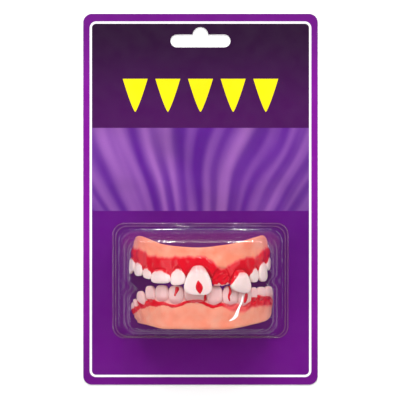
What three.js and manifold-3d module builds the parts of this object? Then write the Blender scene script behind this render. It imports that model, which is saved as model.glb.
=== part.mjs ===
// A vampire fang denture in its blister pack: a hanging card, a clear formed blister, and the soft
// upper and lower arches that the blister holds against the card.
//
// Millimetres. The card lies on its back with its centre over the origin: +X runs to the card's
// right, +Y to its top edge and +Z out of its printed face. Each arch is a U-shaped channel that
// stands on its two ends, with its front teeth under the blister's face.

import * as THREE from "three";
import { mergeVertices } from "three/addons/utils/BufferGeometryUtils.js";
import Module from "manifold-3d";

const wasm = await Module();
wasm.setup();

// Clearances
const FIT_GAP = 0.3; // between a tooth and its socket, and between neighbouring teeth
const SEAL_GAP = 0.1; // between the card and what lies on it

// Card
const CARD_WIDTH = 105;
const CARD_HEIGHT = 166;
const CARD_THICKNESS = 0.6;
const CARD_CORNER = 4;
const SLOT_WIDTH = 26.7;
const SLOT_HEIGHT = 5.6;
const SLOT_FROM_TOP = 12.2; // from the card's top edge to the middle of the slot
const SLOT_PEG_RADIUS = 3.4; // the round notch over the slot that sits on the peg
const SLOT_PEG_RISE = 2.7; // from the middle of the slot to the middle of that notch

// Where the two arches bite, from the card's centre
const BITE_Y = -37.5;

// Arches
const UPPER_HALF_WIDTH = 30.2;
const UPPER_DEPTH = 32.8;
const UPPER_SHIFT_X = 0;
const LOWER_HALF_WIDTH = 30.3;
const LOWER_SHIFT_X = 1.2;
const ARCH_SQUARENESS = 2.2; // 2 is an ellipse, more is squarer
const UPPER_GUM_HEIGHT = 9.5;
const LOWER_GUM_HEIGHT = 11;
const UPPER_TOOTH_LENGTH = 7.5;
const LOWER_TOOTH_LENGTH = 8;
const GUM_WALL = 1.8;
const GUM_BULGE = 0.6;
const GUM_SCALLOP = 2.2; // how far the gum's edge rises over each tooth
const FLOOR_THICKNESS = 1.6;
const CHANNEL_WIDTH = 6.4;
const LINGUAL_WALL = 1.5;
const SOCKET_WALL = 1.1;

// Teeth
const TOOTH_PROUD = 1.3;
const TOOTH_BACK = 1.5;
const TOOTH_ROOT = 1.6; // how far a tooth goes up behind the edge of the gum

// Blister
const BLISTER_WALL = 0.5;
const BLISTER_FACE_GAP = 0.6; // between the longest tooth and the blister's face
const BLISTER_CROWN = 0.7; // how far the face bulges
const BLISTER_FACE_RING = 9; // from the face's edge to the ring that carries most of the crown
const BLISTER_SIDE_ROOM = 4.3;
const BLISTER_TOP_ROOM = 1.7;
const BLISTER_BOTTOM_ROOM = 2.9;
const BLISTER_SIDE_DRAFT = 3.0;
const BLISTER_TOP_DRAFT = 3.2;
const BLISTER_BOTTOM_DRAFT = 2.2;
const BLISTER_SHOULDER = 0.7; // how far the sides step out below the shoulder
const BLISTER_SHOULDER_DROP = 1;
const BLISTER_SHOULDER_AT = 0.46; // share of the blister's height
const BLISTER_EDGE_RADIUS = 3.2;
const BLISTER_FOOT_RADIUS = 0.8;
const BLISTER_CORNER = 5.6;
const FLANGE_SIDE = 4.7;
const FLANGE_TOP = 2.7;
const FLANGE_BOTTOM = 2.3;
const FLANGE_CORNER = 5;
const BEAD_WIDTH = 1.3;
const BEAD_HEIGHT = 0.7;
const BEAD_INSET = 0.2;

// How fine the facets are
const WIDE_TOOTH = 0.17; // share of half the arch's length
const STATION_GAP = 0.016;
const TOOTH_SIDES = 10;
const TOOTH_RINGS = [0, 0.22, 0.45, 0.68, 0.88, 0.985]; // shares of its length from the root
const CORNER_STEPS = 4;
const NOTCH_STEPS = 6;
const CURVE_SAMPLES = 600;

const COLOURS = {
  card: 0x5f1a78,
  blister: 0xe8e4f0,
  gum: 0xf29878,
  tooth: 0xf2dcd8,
  blood: 0xd40f24,
};

// Rows of numbers under named columns.
function table(columns, rows) {
  const names = columns.split(" ");
  return rows.map((row) => Object.fromEntries(names.map((name, i) => [name, row[i]])));
}

// The arches' sections, from the left end (-1) to the right end (1). The heights are counted from
// the bite: margin and tip as shares of the tooth length, gum as a share of the gum height above
// the margin. Roll is in degrees, and tips the teeth outwards.
const UPPER_SECTIONS = table("at margin tip gum roll", [
  [-1.0, 1.6, 0.67, 0.74, 5],
  [-0.86, 1.6, 0.68, 0.96, 5],
  [-0.7, 1.44, 0.7, 1.12, 3],
  [-0.57, 1.14, 0.52, 1.28, 1],
  [-0.46, 0.94, 0.32, 1.3, 0],
  [-0.36, 0.91, 0.1, 1.19, 0],
  [-0.2, 1.01, 0.0, 1.01, 0],
  [0.0, 1.08, 0.0, 0.91, 0],
  [0.2, 0.98, 0.0, 1.09, 0],
  [0.36, 0.91, 0.02, 1.27, 0],
  [0.48, 0.97, 0.1, 1.36, 0],
  [0.58, 1.15, 0.18, 1.3, 1],
  [0.76, 1.55, 0.53, 1.06, 2],
  [0.9, 1.63, 0.8, 0.82, 2],
  [1.0, 1.6, 0.8, 0.6, 2],
]);
const LOWER_SECTIONS = table("at margin tip gum roll", [
  [-1.0, 1.74, 1.22, 0.4, 16],
  [-0.8, 1.54, 0.88, 0.54, 14],
  [-0.66, 1.2, 0.34, 0.78, 8],
  [-0.52, 0.9, 0.04, 1.04, 3],
  [-0.39, 0.88, 0.0, 1.11, 0],
  [-0.25, 0.97, 0.0, 1.04, 0],
  [-0.1, 0.92, 0.0, 1.08, 0],
  [0.1, 1.06, 0.0, 0.98, 0],
  [0.25, 1.12, 0.01, 0.93, 0],
  [0.4, 1.13, 0.08, 0.84, 0],
  [0.51, 0.92, 0.13, 0.92, 0],
  [0.61, 0.83, 0.12, 0.94, -1],
  [0.78, 0.78, 0.12, 0.87, -3],
  [0.9, 0.78, 0.17, 0.69, -4],
  [1.0, 0.81, 0.25, 0.41, -4],
]);

// The teeth, left to right. At and width are shares of half the arch's length. Neck and drop are
// shares of the tooth length, past the margin and past the tip line. Proud is a share of how far a
// plain tooth stands out, set moves the whole tooth out by that share, skew moves the tip sideways
// by a share of the width, cant makes one corner of the tip longer by a share of the length, and
// tip is 2 for a round end and more for a square one. Waist is the neck's share of the width.
const UPPER_TEETH = table("at width neck drop proud set skew cant tip waist", [
  [-0.935, 0.125, 0.0, 0.1, 0.9, 0.1, 0, 0, 3.0, 0.35],
  [-0.8, 0.134, 0.12, -0.04, 0.9, 0.1, 0, 0, 2.8, 0.35],
  [-0.655, 0.156, 0.02, 0.16, 0.9, 0.1, 0, 0, 2.8, 0.35],
  [-0.515, 0.12, 0.0, 0.06, 0.9, 0, 0, 0.06, 3.0, 0.35],
  [-0.356, 0.192, 0.0, -0.03, 1.1, 0.15, 0, 0, 3.4, 0.35],
  [-0.196, 0.128, 0.03, -0.04, 0.9, 0, 0.04, -0.05, 3.0, 0.35],
  [-0.018, 0.24, 0.16, 0.52, 1.3, 0.6, -0.02, 0.02, 3.4, 0.1],
  [0.184, 0.164, -0.1, -0.03, 0.2, -0.15, 0, 0, 3.6, 0.7],
  [0.362, 0.214, -0.05, 0.42, 1.3, 0.6, 0.06, 0.2, 2.4, 0.25],
  [0.523, 0.108, 0.0, -0.03, 0.9, 0, 0, 0, 3.0, 0.35],
  [0.662, 0.17, 0.08, 0.16, 1.0, 0.1, 0.02, 0, 2.8, 0.35],
  [0.828, 0.158, 0.0, -0.12, 0.9, 0.1, 0, 0, 2.8, 0.35],
  [0.95, 0.084, 0.0, 0.0, 0.8, 0, 0, 0, 3.0, 0.35],
]);
const LOWER_TEETH = table("at width neck drop proud set skew cant tip waist", [
  [-0.95, 0.086, 0.0, 0.0, 0.9, 0.1, 0, 0, 3.0, 0.35],
  [-0.865, 0.082, 0.0, 0.0, 0.9, 0.1, 0, 0, 3.0, 0.35],
  [-0.782, 0.084, 0.05, 0.02, 0.9, 0, 0, 0, 3.0, 0.35],
  [-0.664, 0.15, 0.0, 0.0, 0.9, 0, 0, 0.04, 3.0, 0.35],
  [-0.526, 0.124, -0.05, 0.0, 0.9, 0, 0, 0, 3.4, 0.35],
  [-0.392, 0.14, 0.0, 0.0, 0.9, 0, 0, 0, 3.4, 0.35],
  [-0.248, 0.146, 0.05, 0.0, 1.0, 0, 0, 0, 3.4, 0.35],
  [-0.07, 0.206, 0.0, 0.0, 0.8, 0, 0, 0, 3.8, 0.35],
  [0.104, 0.142, 0.04, 0.0, 1.0, 0, 0, 0, 3.2, 0.35],
  [0.248, 0.144, 0.04, 0.0, 1.0, 0, 0, 0, 3.2, 0.35],
  [0.392, 0.142, 0.06, 0.0, 0.9, 0, 0, 0, 3.2, 0.35],
  [0.502, 0.076, -0.12, 0.0, 0.8, 0, 0, 0, 3.4, 0.35],
  [0.606, 0.13, 0.0, 0.0, 0.9, 0, 0, 0, 3.6, 0.35],
  [0.758, 0.172, 0.0, 0.0, 0.9, 0, 0, 0, 3.4, 0.35],
  [0.918, 0.146, 0.0, 0.0, 0.8, 0, 0, 0, 3.2, 0.35],
]);
const TOOTH_NAMES = {
  6: "upper_big_incisor",
  7: "upper_broken_tooth",
  8: "upper_fang",
};

// The blister's two pinched sides, between the ends of the arches. The offset is from the bite.
const BLISTER_NOTCHES = {
  left: { offset: -1.0, halfHeight: 3.9, depth: 3.1 },
  right: { offset: 1.3, halfHeight: 2.8, depth: 2.0 },
};

const cardFace = CARD_THICKNESS + SEAL_GAP;
const longestProud = Math.max(...UPPER_TEETH.map((tooth) => tooth.proud + tooth.set));
const toothSetback = TOOTH_BACK + TOOTH_PROUD * 1.1 + FIT_GAP;

// A cubic through a table's column, read at any place.
function read(rows, column, at) {
  let i = 0;
  while (i < rows.length - 2 && at > rows[i + 1].at) i += 1;
  const slope = (j) => {
    const a = rows[Math.max(j - 1, 0)];
    const b = rows[Math.min(j + 1, rows.length - 1)];
    return (b[column] - a[column]) / (b.at - a.at);
  };
  const [a, b] = [rows[i], rows[i + 1]];
  const span = b.at - a.at;
  const u = Math.min(Math.max((at - a.at) / span, 0), 1);
  return (
    a[column] * (2 * u ** 3 - 3 * u ** 2 + 1) +
    b[column] * (3 * u ** 2 - 2 * u ** 3) +
    slope(i) * span * (u ** 3 - 2 * u ** 2 + u) +
    slope(i + 1) * span * (u ** 3 - u ** 2)
  );
}

// The curve that an arch follows, seen from above its bite: a superellipse that stands on the card.
function archCurve(halfWidth, depth, shiftX) {
  const points = [];
  for (let i = 0; i <= CURVE_SAMPLES; i += 1) {
    const angle = (Math.PI * i) / CURVE_SAMPLES;
    const [c, s] = [Math.cos(angle), Math.sin(angle)];
    points.push({
      x: shiftX - halfWidth * Math.sign(c) * Math.abs(c) ** (2 / ARCH_SQUARENESS),
      z: cardFace + depth * Math.abs(s) ** (2 / ARCH_SQUARENESS),
    });
  }
  let length = 0;
  points.forEach((p, i) => {
    if (i) length += Math.hypot(p.x - points[i - 1].x, p.z - points[i - 1].z);
    p.run = length;
  });
  return { points, length };
}

// Where the curve is at a share of half its length from its middle, and which way is out.
function onCurve({ points, length }, at) {
  const run = ((Math.min(Math.max(at, -1), 1) + 1) / 2) * length;
  let i = points.findIndex((p) => p.run >= run);
  i = Math.min(Math.max(i, 1), points.length - 1);
  const [a, b] = [points[i - 1], points[i]];
  const u = (run - a.run) / (b.run - a.run);
  const along = new THREE.Vector3(b.x - a.x, 0, b.z - a.z).normalize();
  return {
    point: new THREE.Vector3(a.x + (b.x - a.x) * u, 0, a.z + (b.z - a.z) * u),
    along,
    out: new THREE.Vector3(-along.z, 0, along.x),
  };
}

const upperArch = {
  curve: archCurve(UPPER_HALF_WIDTH, UPPER_DEPTH, UPPER_SHIFT_X),
  sections: UPPER_SECTIONS,
  teeth: UPPER_TEETH,
  toothLength: UPPER_TOOTH_LENGTH,
  gumHeight: UPPER_GUM_HEIGHT,
  up: 1,
};
const lowerArch = {
  curve: archCurve(LOWER_HALF_WIDTH, UPPER_DEPTH - toothSetback, LOWER_SHIFT_X),
  sections: LOWER_SECTIONS,
  teeth: LOWER_TEETH,
  toothLength: LOWER_TOOTH_LENGTH,
  gumHeight: LOWER_GUM_HEIGHT,
  up: -1,
};

// The frame of an arch's section: its origin on the gum's edge over the teeth, with out away from
// the mouth, gumward to the gum's free edge and along the curve.
function sectionFrame(arch, at) {
  const { point, along, out } = onCurve(arch.curve, at);
  const roll = THREE.MathUtils.degToRad(read(arch.sections, "roll", at));
  const margin = read(arch.sections, "margin", at) * arch.toothLength;
  const up = new THREE.Vector3(0, arch.up, 0);
  const cos = Math.cos(roll);
  const sin = Math.sin(roll);
  return {
    origin: new THREE.Vector3(point.x, BITE_Y + arch.up * margin, point.z),
    along,
    out: out.clone().multiplyScalar(cos).addScaledVector(up, sin),
    gumward: up.clone().multiplyScalar(cos).addScaledVector(out, -sin),
    gum: read(arch.sections, "gum", at) * arch.gumHeight,
    tooth: margin - read(arch.sections, "tip", at) * arch.toothLength,
    between: betweenTeeth(arch, at),
  };
}

function place(frame, out, gumward, along = 0) {
  return frame.origin
    .clone()
    .addScaledVector(frame.out, out)
    .addScaledVector(frame.gumward, gumward)
    .addScaledVector(frame.along, along);
}

// A closed surface through rings of points, with a flat cap or a centre point at each end.
function loft(rings, firstCap, lastCap, reversed) {
  const size = rings[0].length;
  const positions = rings.flat().flatMap((p) => [p.x, p.y, p.z]);
  const faces = [];
  for (let i = 0; i < rings.length - 1; i += 1) {
    for (let j = 0; j < size; j += 1) {
      const [a, b] = [i * size + j, i * size + ((j + 1) % size)];
      faces.push([a, b, b + size], [a, b + size, a + size]);
    }
  }
  const close = (cap, start, turned) => {
    if (cap.isVector3) {
      const centre = positions.length / 3;
      positions.push(cap.x, cap.y, cap.z);
      for (let j = 0; j < size; j += 1) {
        const face = [centre, start + ((j + 1) % size), start + j];
        faces.push(turned ? face.reverse() : face);
      }
    } else {
      cap.forEach(([a, b, c]) => {
        const face = [start + c, start + b, start + a];
        faces.push(turned ? face.reverse() : face);
      });
    }
  };
  close(firstCap, 0, false);
  close(lastCap, (rings.length - 1) * size, true);
  const index = faces.flatMap((face) => (reversed ? [...face].reverse() : face));
  const geometry = new THREE.BufferGeometry();
  geometry.setAttribute("position", new THREE.Float32BufferAttribute(positions, 3));
  geometry.setIndex(index);
  return geometry;
}

function middle(ring) {
  return ring
    .reduce((sum, p) => sum.add(p), new THREE.Vector3())
    .divideScalar(ring.length);
}

function solidOf(geometry) {
  const bare = geometry.clone();
  bare.deleteAttribute("normal");
  bare.deleteAttribute("uv");
  const merged = mergeVertices(bare, 1e-4);
  return new wasm.Manifold(
    new wasm.Mesh({
      numProp: 3,
      vertProperties: merged.attributes.position.array,
      triVerts: new Uint32Array(merged.index.array),
    }),
  );
}

function geometryOf(solid) {
  const mesh = solid.getMesh();
  const geometry = new THREE.BufferGeometry();
  geometry.setAttribute("position", new THREE.BufferAttribute(mesh.vertProperties, 3));
  geometry.setIndex(new THREE.BufferAttribute(mesh.triVerts, 1));
  return geometry;
}

function named(name, geometry, colour, roughness) {
  const material = new THREE.MeshStandardMaterial({ color: colour, roughness, metalness: 0 });
  const mesh = new THREE.Mesh(geometry, material);
  mesh.name = name;
  return mesh;
}

// How far a place is from the middle of its tooth: 0 at the middle, 1 between two teeth.
function betweenTeeth(arch, at) {
  const away = arch.teeth.map((tooth) => Math.abs(at - tooth.at) / (tooth.width / 2));
  return Math.min(...away, 1);
}

// The channel's outline at one section, as out and gumward distances: down the lip side of the
// gum, under the teeth's roots, across the biting floor, and round the wall on the tongue's side.
function gumOutline({ gum, tooth, between }) {
  const edge = GUM_SCALLOP * (0.3 - between ** 2);
  const backOfSocket = TOOTH_BACK + FIT_GAP + SOCKET_WALL;
  const farSide = backOfSocket + CHANNEL_WIDTH;
  const floor = -0.74 * tooth;
  const rim = 0.3 * GUM_WALL;
  const tongueRim = 0.4 * gum;
  return [
    [-0.5 * GUM_WALL, gum],
    [-0.1 * GUM_WALL, gum - rim],
    [0, 0.6 * gum],
    [GUM_BULGE, 0.2 * gum + edge],
    [0.7 * GUM_BULGE, edge],
    [-0.2 * GUM_WALL, 0.5 * floor],
    [-TOOTH_BACK, 0.85 * floor],
    [-TOOTH_BACK - FIT_GAP, floor],
    [-farSide, floor],
    [-farSide - LINGUAL_WALL, floor + FLOOR_THICKNESS],
    [-farSide - LINGUAL_WALL, tongueRim - rim],
    [-farSide - 0.5 * LINGUAL_WALL, tongueRim],
    [-farSide, tongueRim - rim],
    [-farSide + 0.5, floor + FLOOR_THICKNESS],
    [-backOfSocket, floor + FLOOR_THICKNESS],
    [-backOfSocket, 0],
    [-GUM_WALL, 0.45 * gum],
    [-0.9 * GUM_WALL, gum - rim],
  ];
}

// The gum has sections at the middle of each tooth and between teeth, and more in wide teeth.
function gumStations(arch) {
  const places = [-1, 1];
  arch.teeth.forEach(({ at, width }) => {
    const parts = width > WIDE_TOOTH ? 4 : 2;
    for (let i = 0; i <= parts; i += 1) places.push(at + width * (i / parts - 0.5));
  });
  places.sort((a, b) => a - b);
  const inside = places.filter((at) => at >= -1 && at <= 1);
  return inside.filter((at, i) => i === 0 || at === 1 || at - inside[i - 1] > STATION_GAP);
}

function gumSolid(arch) {
  const rings = gumStations(arch).map((at) => {
    const frame = sectionFrame(arch, at);
    return gumOutline(frame).map(([out, gumward]) => place(frame, out, gumward));
  });
  const capOf = (at) => {
    const outline = gumOutline(sectionFrame(arch, at));
    const contour = outline.map(([x, y]) => new THREE.Vector2(x, -y));
    return THREE.ShapeUtils.triangulateShape(contour, []);
  };
  return solidOf(loft(rings, capOf(-1), capOf(1), arch.up < 0));
}

// A tooth widens from its root, and its end closes in along a superellipse.
function toothWidening(share, waist) {
  const fromWidest = 1 - Math.min(share / 0.5, 1);
  return waist + (1 - waist) * Math.sqrt(1 - fromWidest ** 2);
}

function tipRounding(share, power) {
  const start = 0.5;
  const u = Math.min(Math.max((share - start) / (1 - start), 0), 1);
  return (1 - u ** power) ** (1 / power);
}

// Its face comes out from under the gum, bulges, and turns back a little towards the tip.
function faceBulge(share, proud) {
  const hidden = -0.35 * GUM_WALL;
  const fall = 0.25 * (Math.max(share - 0.6, 0) / 0.4) ** 2;
  return hidden + (proud - hidden) * comingOut(share) - proud * fall;
}

function comingOut(share) {
  return Math.sin((Math.PI / 2) * Math.min(share / 0.45, 1));
}

// A tooth as rings from its root to its tip. Grown makes the tool that cuts its socket.
function toothSolid(arch, tooth, grown = 0) {
  const frame = sectionFrame(arch, tooth.at);
  const halfWidth = (tooth.width * arch.curve.length) / 4 - FIT_GAP / 2 + grown;
  const root = tooth.neck * arch.toothLength + TOOTH_ROOT + grown;
  const length = root + frame.tooth + tooth.drop * arch.toothLength + grown;
  const proud = TOOTH_PROUD * tooth.proud;
  const set = TOOTH_PROUD * tooth.set;
  const flatSide = Math.cos(Math.PI / TOOTH_SIDES);
  const rings = TOOTH_RINGS.map((share) => {
    const round = tipRounding(share, tooth.tip);
    const spread = halfWidth * toothWidening(share, tooth.waist) * round;
    const front = faceBulge(share, proud) + TOOTH_BACK;
    const back = (TOOTH_BACK + grown) * 0.55 * share ** 2;
    const lean = tooth.skew * halfWidth * 2 * share ** 2;
    const ring = [];
    for (let j = 0; j < TOOTH_SIDES; j += 1) {
      const angle = (2 * Math.PI * (j + 0.5)) / TOOTH_SIDES;
      const c = Math.cos(angle) / flatSide;
      const s = Math.sin(angle);
      const side = spread * Math.sign(c) * Math.abs(c) ** 0.8;
      const middleOut = (front + back) / 2 - TOOTH_BACK;
      const halfDepth = ((front - back) / 2 + grown) * round ** 0.4;
      const longer = (tooth.cant * length * share ** 2 * side) / halfWidth;
      const out = set * comingOut(share) + middleOut + halfDepth * Math.sign(s) * Math.abs(s) ** 0.7;
      ring.push(place(frame, out, root - length * share - longer, side + lean));
    }
    return ring;
  });
  const tip = middle(rings.at(-1)).addScaledVector(frame.gumward, -0.01 * length);
  return solidOf(loft(rings, middle(rings[0]), tip, arch.up < 0));
}

function toothName(arch, i) {
  const [jaw, special] = arch.up > 0 ? ["upper", TOOTH_NAMES[i]] : ["lower", undefined];
  return special ?? `${jaw}_tooth_${String(i + 1).padStart(2, "0")}`;
}

// Teeth that stand out furthest keep their shape, and their neighbours are cut back to the gap.
function archMeshes(arch, gumName, inFront) {
  const order = arch.teeth.map((_, i) => i);
  order.sort((a, b) => arch.teeth[b].set + arch.teeth[b].proud - arch.teeth[a].set - arch.teeth[a].proud);
  const taken = [...inFront];
  const meshes = [];
  let gum = gumSolid(arch);
  for (const i of order) {
    let tooth = toothSolid(arch, arch.teeth[i]);
    taken.forEach((tool) => {
      tooth = tooth.subtract(tool);
    });
    const tool = toothSolid(arch, arch.teeth[i], FIT_GAP);
    taken.push(tool);
    gum = gum.subtract(tool);
    const colour = toothName(arch, i) === "upper_broken_tooth" ? COLOURS.blood : COLOURS.tooth;
    meshes.push(named(toothName(arch, i), geometryOf(largest(tooth)), colour, 0.3));
  }
  meshes.push(named(gumName, geometryOf(largest(gum)), COLOURS.gum, 0.35));
  return { meshes, tools: taken };
}

// What a cut leaves, without the crumbs that it may break off.
function largest(solid) {
  return solid.decompose().reduce((a, b) => (a.volume() >= b.volume() ? a : b));
}

// The card's rounded outline and its hanging slot.
function roundedRectangle(path, left, bottom, width, height, corner) {
  path.moveTo(left + corner, bottom);
  path.lineTo(left + width - corner, bottom);
  path.absarc(left + width - corner, bottom + corner, corner, -Math.PI / 2, 0);
  path.lineTo(left + width, bottom + height - corner);
  path.absarc(left + width - corner, bottom + height - corner, corner, 0, Math.PI / 2);
  path.lineTo(left + corner, bottom + height);
  path.absarc(left + corner, bottom + height - corner, corner, Math.PI / 2, Math.PI);
  path.lineTo(left, bottom + corner);
  path.absarc(left + corner, bottom + corner, corner, Math.PI, 1.5 * Math.PI);
  return path;
}

function slotPath() {
  const middleY = CARD_HEIGHT / 2 - SLOT_FROM_TOP;
  const halfHeight = SLOT_HEIGHT / 2;
  const endX = SLOT_WIDTH / 2 - halfHeight;
  const reach = Math.sqrt(Math.max(SLOT_PEG_RADIUS ** 2 - (SLOT_PEG_RISE - halfHeight) ** 2, 1));
  const turn = Math.atan2(halfHeight - SLOT_PEG_RISE, reach);
  const path = new THREE.Path();
  path.moveTo(-endX, middleY - halfHeight);
  path.lineTo(endX, middleY - halfHeight);
  path.absarc(endX, middleY, halfHeight, -Math.PI / 2, Math.PI / 2);
  path.lineTo(reach, middleY + halfHeight);
  path.absarc(0, middleY + SLOT_PEG_RISE, SLOT_PEG_RADIUS, turn, Math.PI - turn);
  path.lineTo(-endX, middleY + halfHeight);
  path.absarc(-endX, middleY, halfHeight, Math.PI / 2, 1.5 * Math.PI);
  return path;
}

function cardMesh() {
  const shape = new THREE.Shape();
  const [left, bottom] = [-CARD_WIDTH / 2, -CARD_HEIGHT / 2];
  roundedRectangle(shape, left, bottom, CARD_WIDTH, CARD_HEIGHT, CARD_CORNER);
  shape.holes.push(slotPath());
  const flat = { depth: CARD_THICKNESS, bevelEnabled: false, curveSegments: 8 };
  return named("card", new THREE.ExtrudeGeometry(shape, flat), COLOURS.card, 0.4);
}

// One level of the blister: a rectangle with round corners, whose long sides are pinched in.
function blisterRing(sides, z, corner, pinch) {
  const { left, right, bottom, top } = sides;
  const ring = [];
  const turnCorner = (x, y, start) => {
    for (let i = 0; i <= CORNER_STEPS; i += 1) {
      const angle = start + (Math.PI / 2) * (i / CORNER_STEPS);
      ring.push(new THREE.Vector3(x + corner * Math.cos(angle), y + corner * Math.sin(angle), z));
    }
  };
  const pinchSide = (x, { offset, halfHeight, depth }, inward, upwards) => {
    const low = Math.max(BITE_Y + offset - halfHeight, bottom + 1.2 * corner);
    const high = Math.min(BITE_Y + offset + halfHeight, top - 1.2 * corner);
    for (let i = 0; i <= NOTCH_STEPS; i += 1) {
      const u = (2 * i) / NOTCH_STEPS - 1;
      const deep = depth * pinch * (0.5 + 0.5 * Math.cos(Math.PI * u));
      const y = (low + high) / 2 + ((high - low) / 2) * (upwards ? u : -u);
      ring.push(new THREE.Vector3(x + inward * deep, y, z));
    }
  };
  pinchSide(right, BLISTER_NOTCHES.right, -1, true);
  turnCorner(right - corner, top - corner, 0);
  turnCorner(left + corner, top - corner, Math.PI / 2);
  pinchSide(left, BLISTER_NOTCHES.left, 1, false);
  turnCorner(left + corner, bottom + corner, Math.PI);
  turnCorner(right - corner, bottom + corner, 1.5 * Math.PI);
  return ring;
}

function tallestSection(arch) {
  const heights = arch.sections.map((row) => row.margin * arch.toothLength + row.gum * arch.gumHeight);
  return Math.max(...heights);
}

// The blister: down its outside from the face to the flange, under the flange, and up its inside.
function blisterMesh() {
  const foot = cardFace + BLISTER_WALL;
  const face = cardFace + UPPER_DEPTH + TOOTH_PROUD * longestProud + BLISTER_FACE_GAP + BLISTER_WALL;
  const halfWidth = Math.max(UPPER_HALF_WIDTH, LOWER_HALF_WIDTH) + BLISTER_SIDE_ROOM;
  const base = {
    left: -halfWidth,
    right: halfWidth,
    bottom: BITE_Y - tallestSection(lowerArch) - BLISTER_BOTTOM_ROOM,
    top: BITE_Y + tallestSection(upperArch) + BLISTER_TOP_ROOM,
  };
  const sidesAt = (z, inset) => {
    const up = Math.min(Math.max((z - foot) / (face - foot), 0), 1);
    return {
      left: base.left + BLISTER_SIDE_DRAFT * up + inset,
      right: base.right - BLISTER_SIDE_DRAFT * up - inset,
      bottom: base.bottom + BLISTER_BOTTOM_DRAFT * up + inset,
      top: base.top - BLISTER_TOP_DRAFT * up - inset,
    };
  };
  const shoulderZ = foot + (face - foot) * BLISTER_SHOULDER_AT;
  const rounding = BLISTER_EDGE_RADIUS;
  const skin = (wall) => {
    const high = face - wall;
    const dome = (inset, z, corner, pinch) =>
      blisterRing(sidesAt(z, inset + wall), z, Math.max(corner - wall, 1), pinch);
    return [
      dome(rounding + BLISTER_FACE_RING, high + BLISTER_CROWN * 0.75, BLISTER_CORNER / 2, 0),
      dome(rounding, high, BLISTER_CORNER - rounding / 4, 1),
      dome(rounding * 0.3, high - rounding * 0.3, BLISTER_CORNER, 1),
      dome(0, high - rounding, BLISTER_CORNER, 1),
      dome(0, shoulderZ + BLISTER_SHOULDER_DROP - wall, BLISTER_CORNER, 1),
      dome(-BLISTER_SHOULDER, shoulderZ - wall, BLISTER_CORNER, 0.9),
      dome(-BLISTER_SHOULDER, foot + BLISTER_FOOT_RADIUS, BLISTER_CORNER, 0.5),
    ];
  };
  const flange = (outward, z) => {
    const share = outward / FLANGE_SIDE;
    const corner = BLISTER_CORNER + (FLANGE_CORNER - BLISTER_CORNER) * share;
    const sides = {
      left: base.left - outward,
      right: base.right + outward,
      bottom: base.bottom - FLANGE_BOTTOM * share,
      top: base.top + FLANGE_TOP * share,
    };
    return blisterRing(sides, z, corner, 0);
  };
  const outer = skin(0);
  const inner = skin(BLISTER_WALL);
  const beadEnd = FLANGE_SIDE - BEAD_INSET;
  const rings = [
    ...outer,
    flange(BLISTER_FOOT_RADIUS, foot),
    flange(beadEnd - BEAD_WIDTH, foot),
    flange(beadEnd - 0.7 * BEAD_WIDTH, foot + BEAD_HEIGHT),
    flange(beadEnd - 0.3 * BEAD_WIDTH, foot + BEAD_HEIGHT),
    flange(beadEnd, foot),
    flange(FLANGE_SIDE, foot),
    flange(FLANGE_SIDE, cardFace),
    flange(BLISTER_FOOT_RADIUS - BLISTER_WALL, cardFace),
    ...inner.reverse(),
  ];
  const crown = (ring, rise) => middle(ring).add(new THREE.Vector3(0, 0, rise * BLISTER_CROWN));
  const first = crown(rings[0], 0.25);
  const last = crown(rings.at(-1), 0.25);
  const geometry = loft(rings, first, last, true);
  return named("blister", geometry, COLOURS.blister, 0.1);
}

const upper = archMeshes(upperArch, "upper_gum", []);
const lower = archMeshes(lowerArch, "lower_gum", upper.tools);

const pack = new THREE.Group();
pack.add(cardMesh(), blisterMesh(), ...upper.meshes, ...lower.meshes);

export default pack;
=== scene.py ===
"""Looks for a vampire fang denture in its clear blister on a hanging card.

The arches, the teeth, the card and the blister are made finer than their solids, on the same
curves and tables. Lengths in the tables and in the mesh code are in millimetres.
"""

import math

import bpy
import numpy as np
from bpy.props import FloatProperty, FloatVectorProperty, IntProperty, PointerProperty
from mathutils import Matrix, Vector
from mathutils.bvhtree import BVHTree
from mathutils.geometry import tessellate_polygon


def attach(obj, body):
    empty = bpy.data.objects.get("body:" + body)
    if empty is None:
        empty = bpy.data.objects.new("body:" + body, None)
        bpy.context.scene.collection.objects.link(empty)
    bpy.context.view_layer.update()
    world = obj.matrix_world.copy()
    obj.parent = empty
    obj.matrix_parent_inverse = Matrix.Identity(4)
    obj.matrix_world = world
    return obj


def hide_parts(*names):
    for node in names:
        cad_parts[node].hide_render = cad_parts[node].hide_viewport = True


bl_info = {
    "name": "Fang denture pack",
    "version": (1, 0, 0),
    "blender": (4, 5, 0),
    "location": "3D View > Sidebar > Fang denture",
    "description": "Makes the looks of a fang denture in a clear blister on a hanging card",
    "category": "Object",
}

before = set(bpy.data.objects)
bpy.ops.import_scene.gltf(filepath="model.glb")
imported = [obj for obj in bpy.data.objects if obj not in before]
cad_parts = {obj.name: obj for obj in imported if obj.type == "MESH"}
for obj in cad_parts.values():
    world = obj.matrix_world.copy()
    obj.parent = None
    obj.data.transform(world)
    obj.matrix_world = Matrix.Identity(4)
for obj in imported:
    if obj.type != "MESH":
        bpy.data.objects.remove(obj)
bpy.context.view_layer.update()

MM = 0.001
BODY = "root"

# Card
CARD_WIDTH = 105.0
CARD_HEIGHT = 166.0
CARD_THICKNESS = 0.6
CARD_CORNER = 4.0
CARD_EDGE_BREAK = 0.09
SLOT_WIDTH = 26.7
SLOT_HEIGHT = 5.6
SLOT_FROM_TOP = 12.2
SLOT_PEG_RADIUS = 3.4
SLOT_PEG_RISE = 2.7
CARD_FACE = 0.7  # what lies on the card starts a little above it

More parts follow.
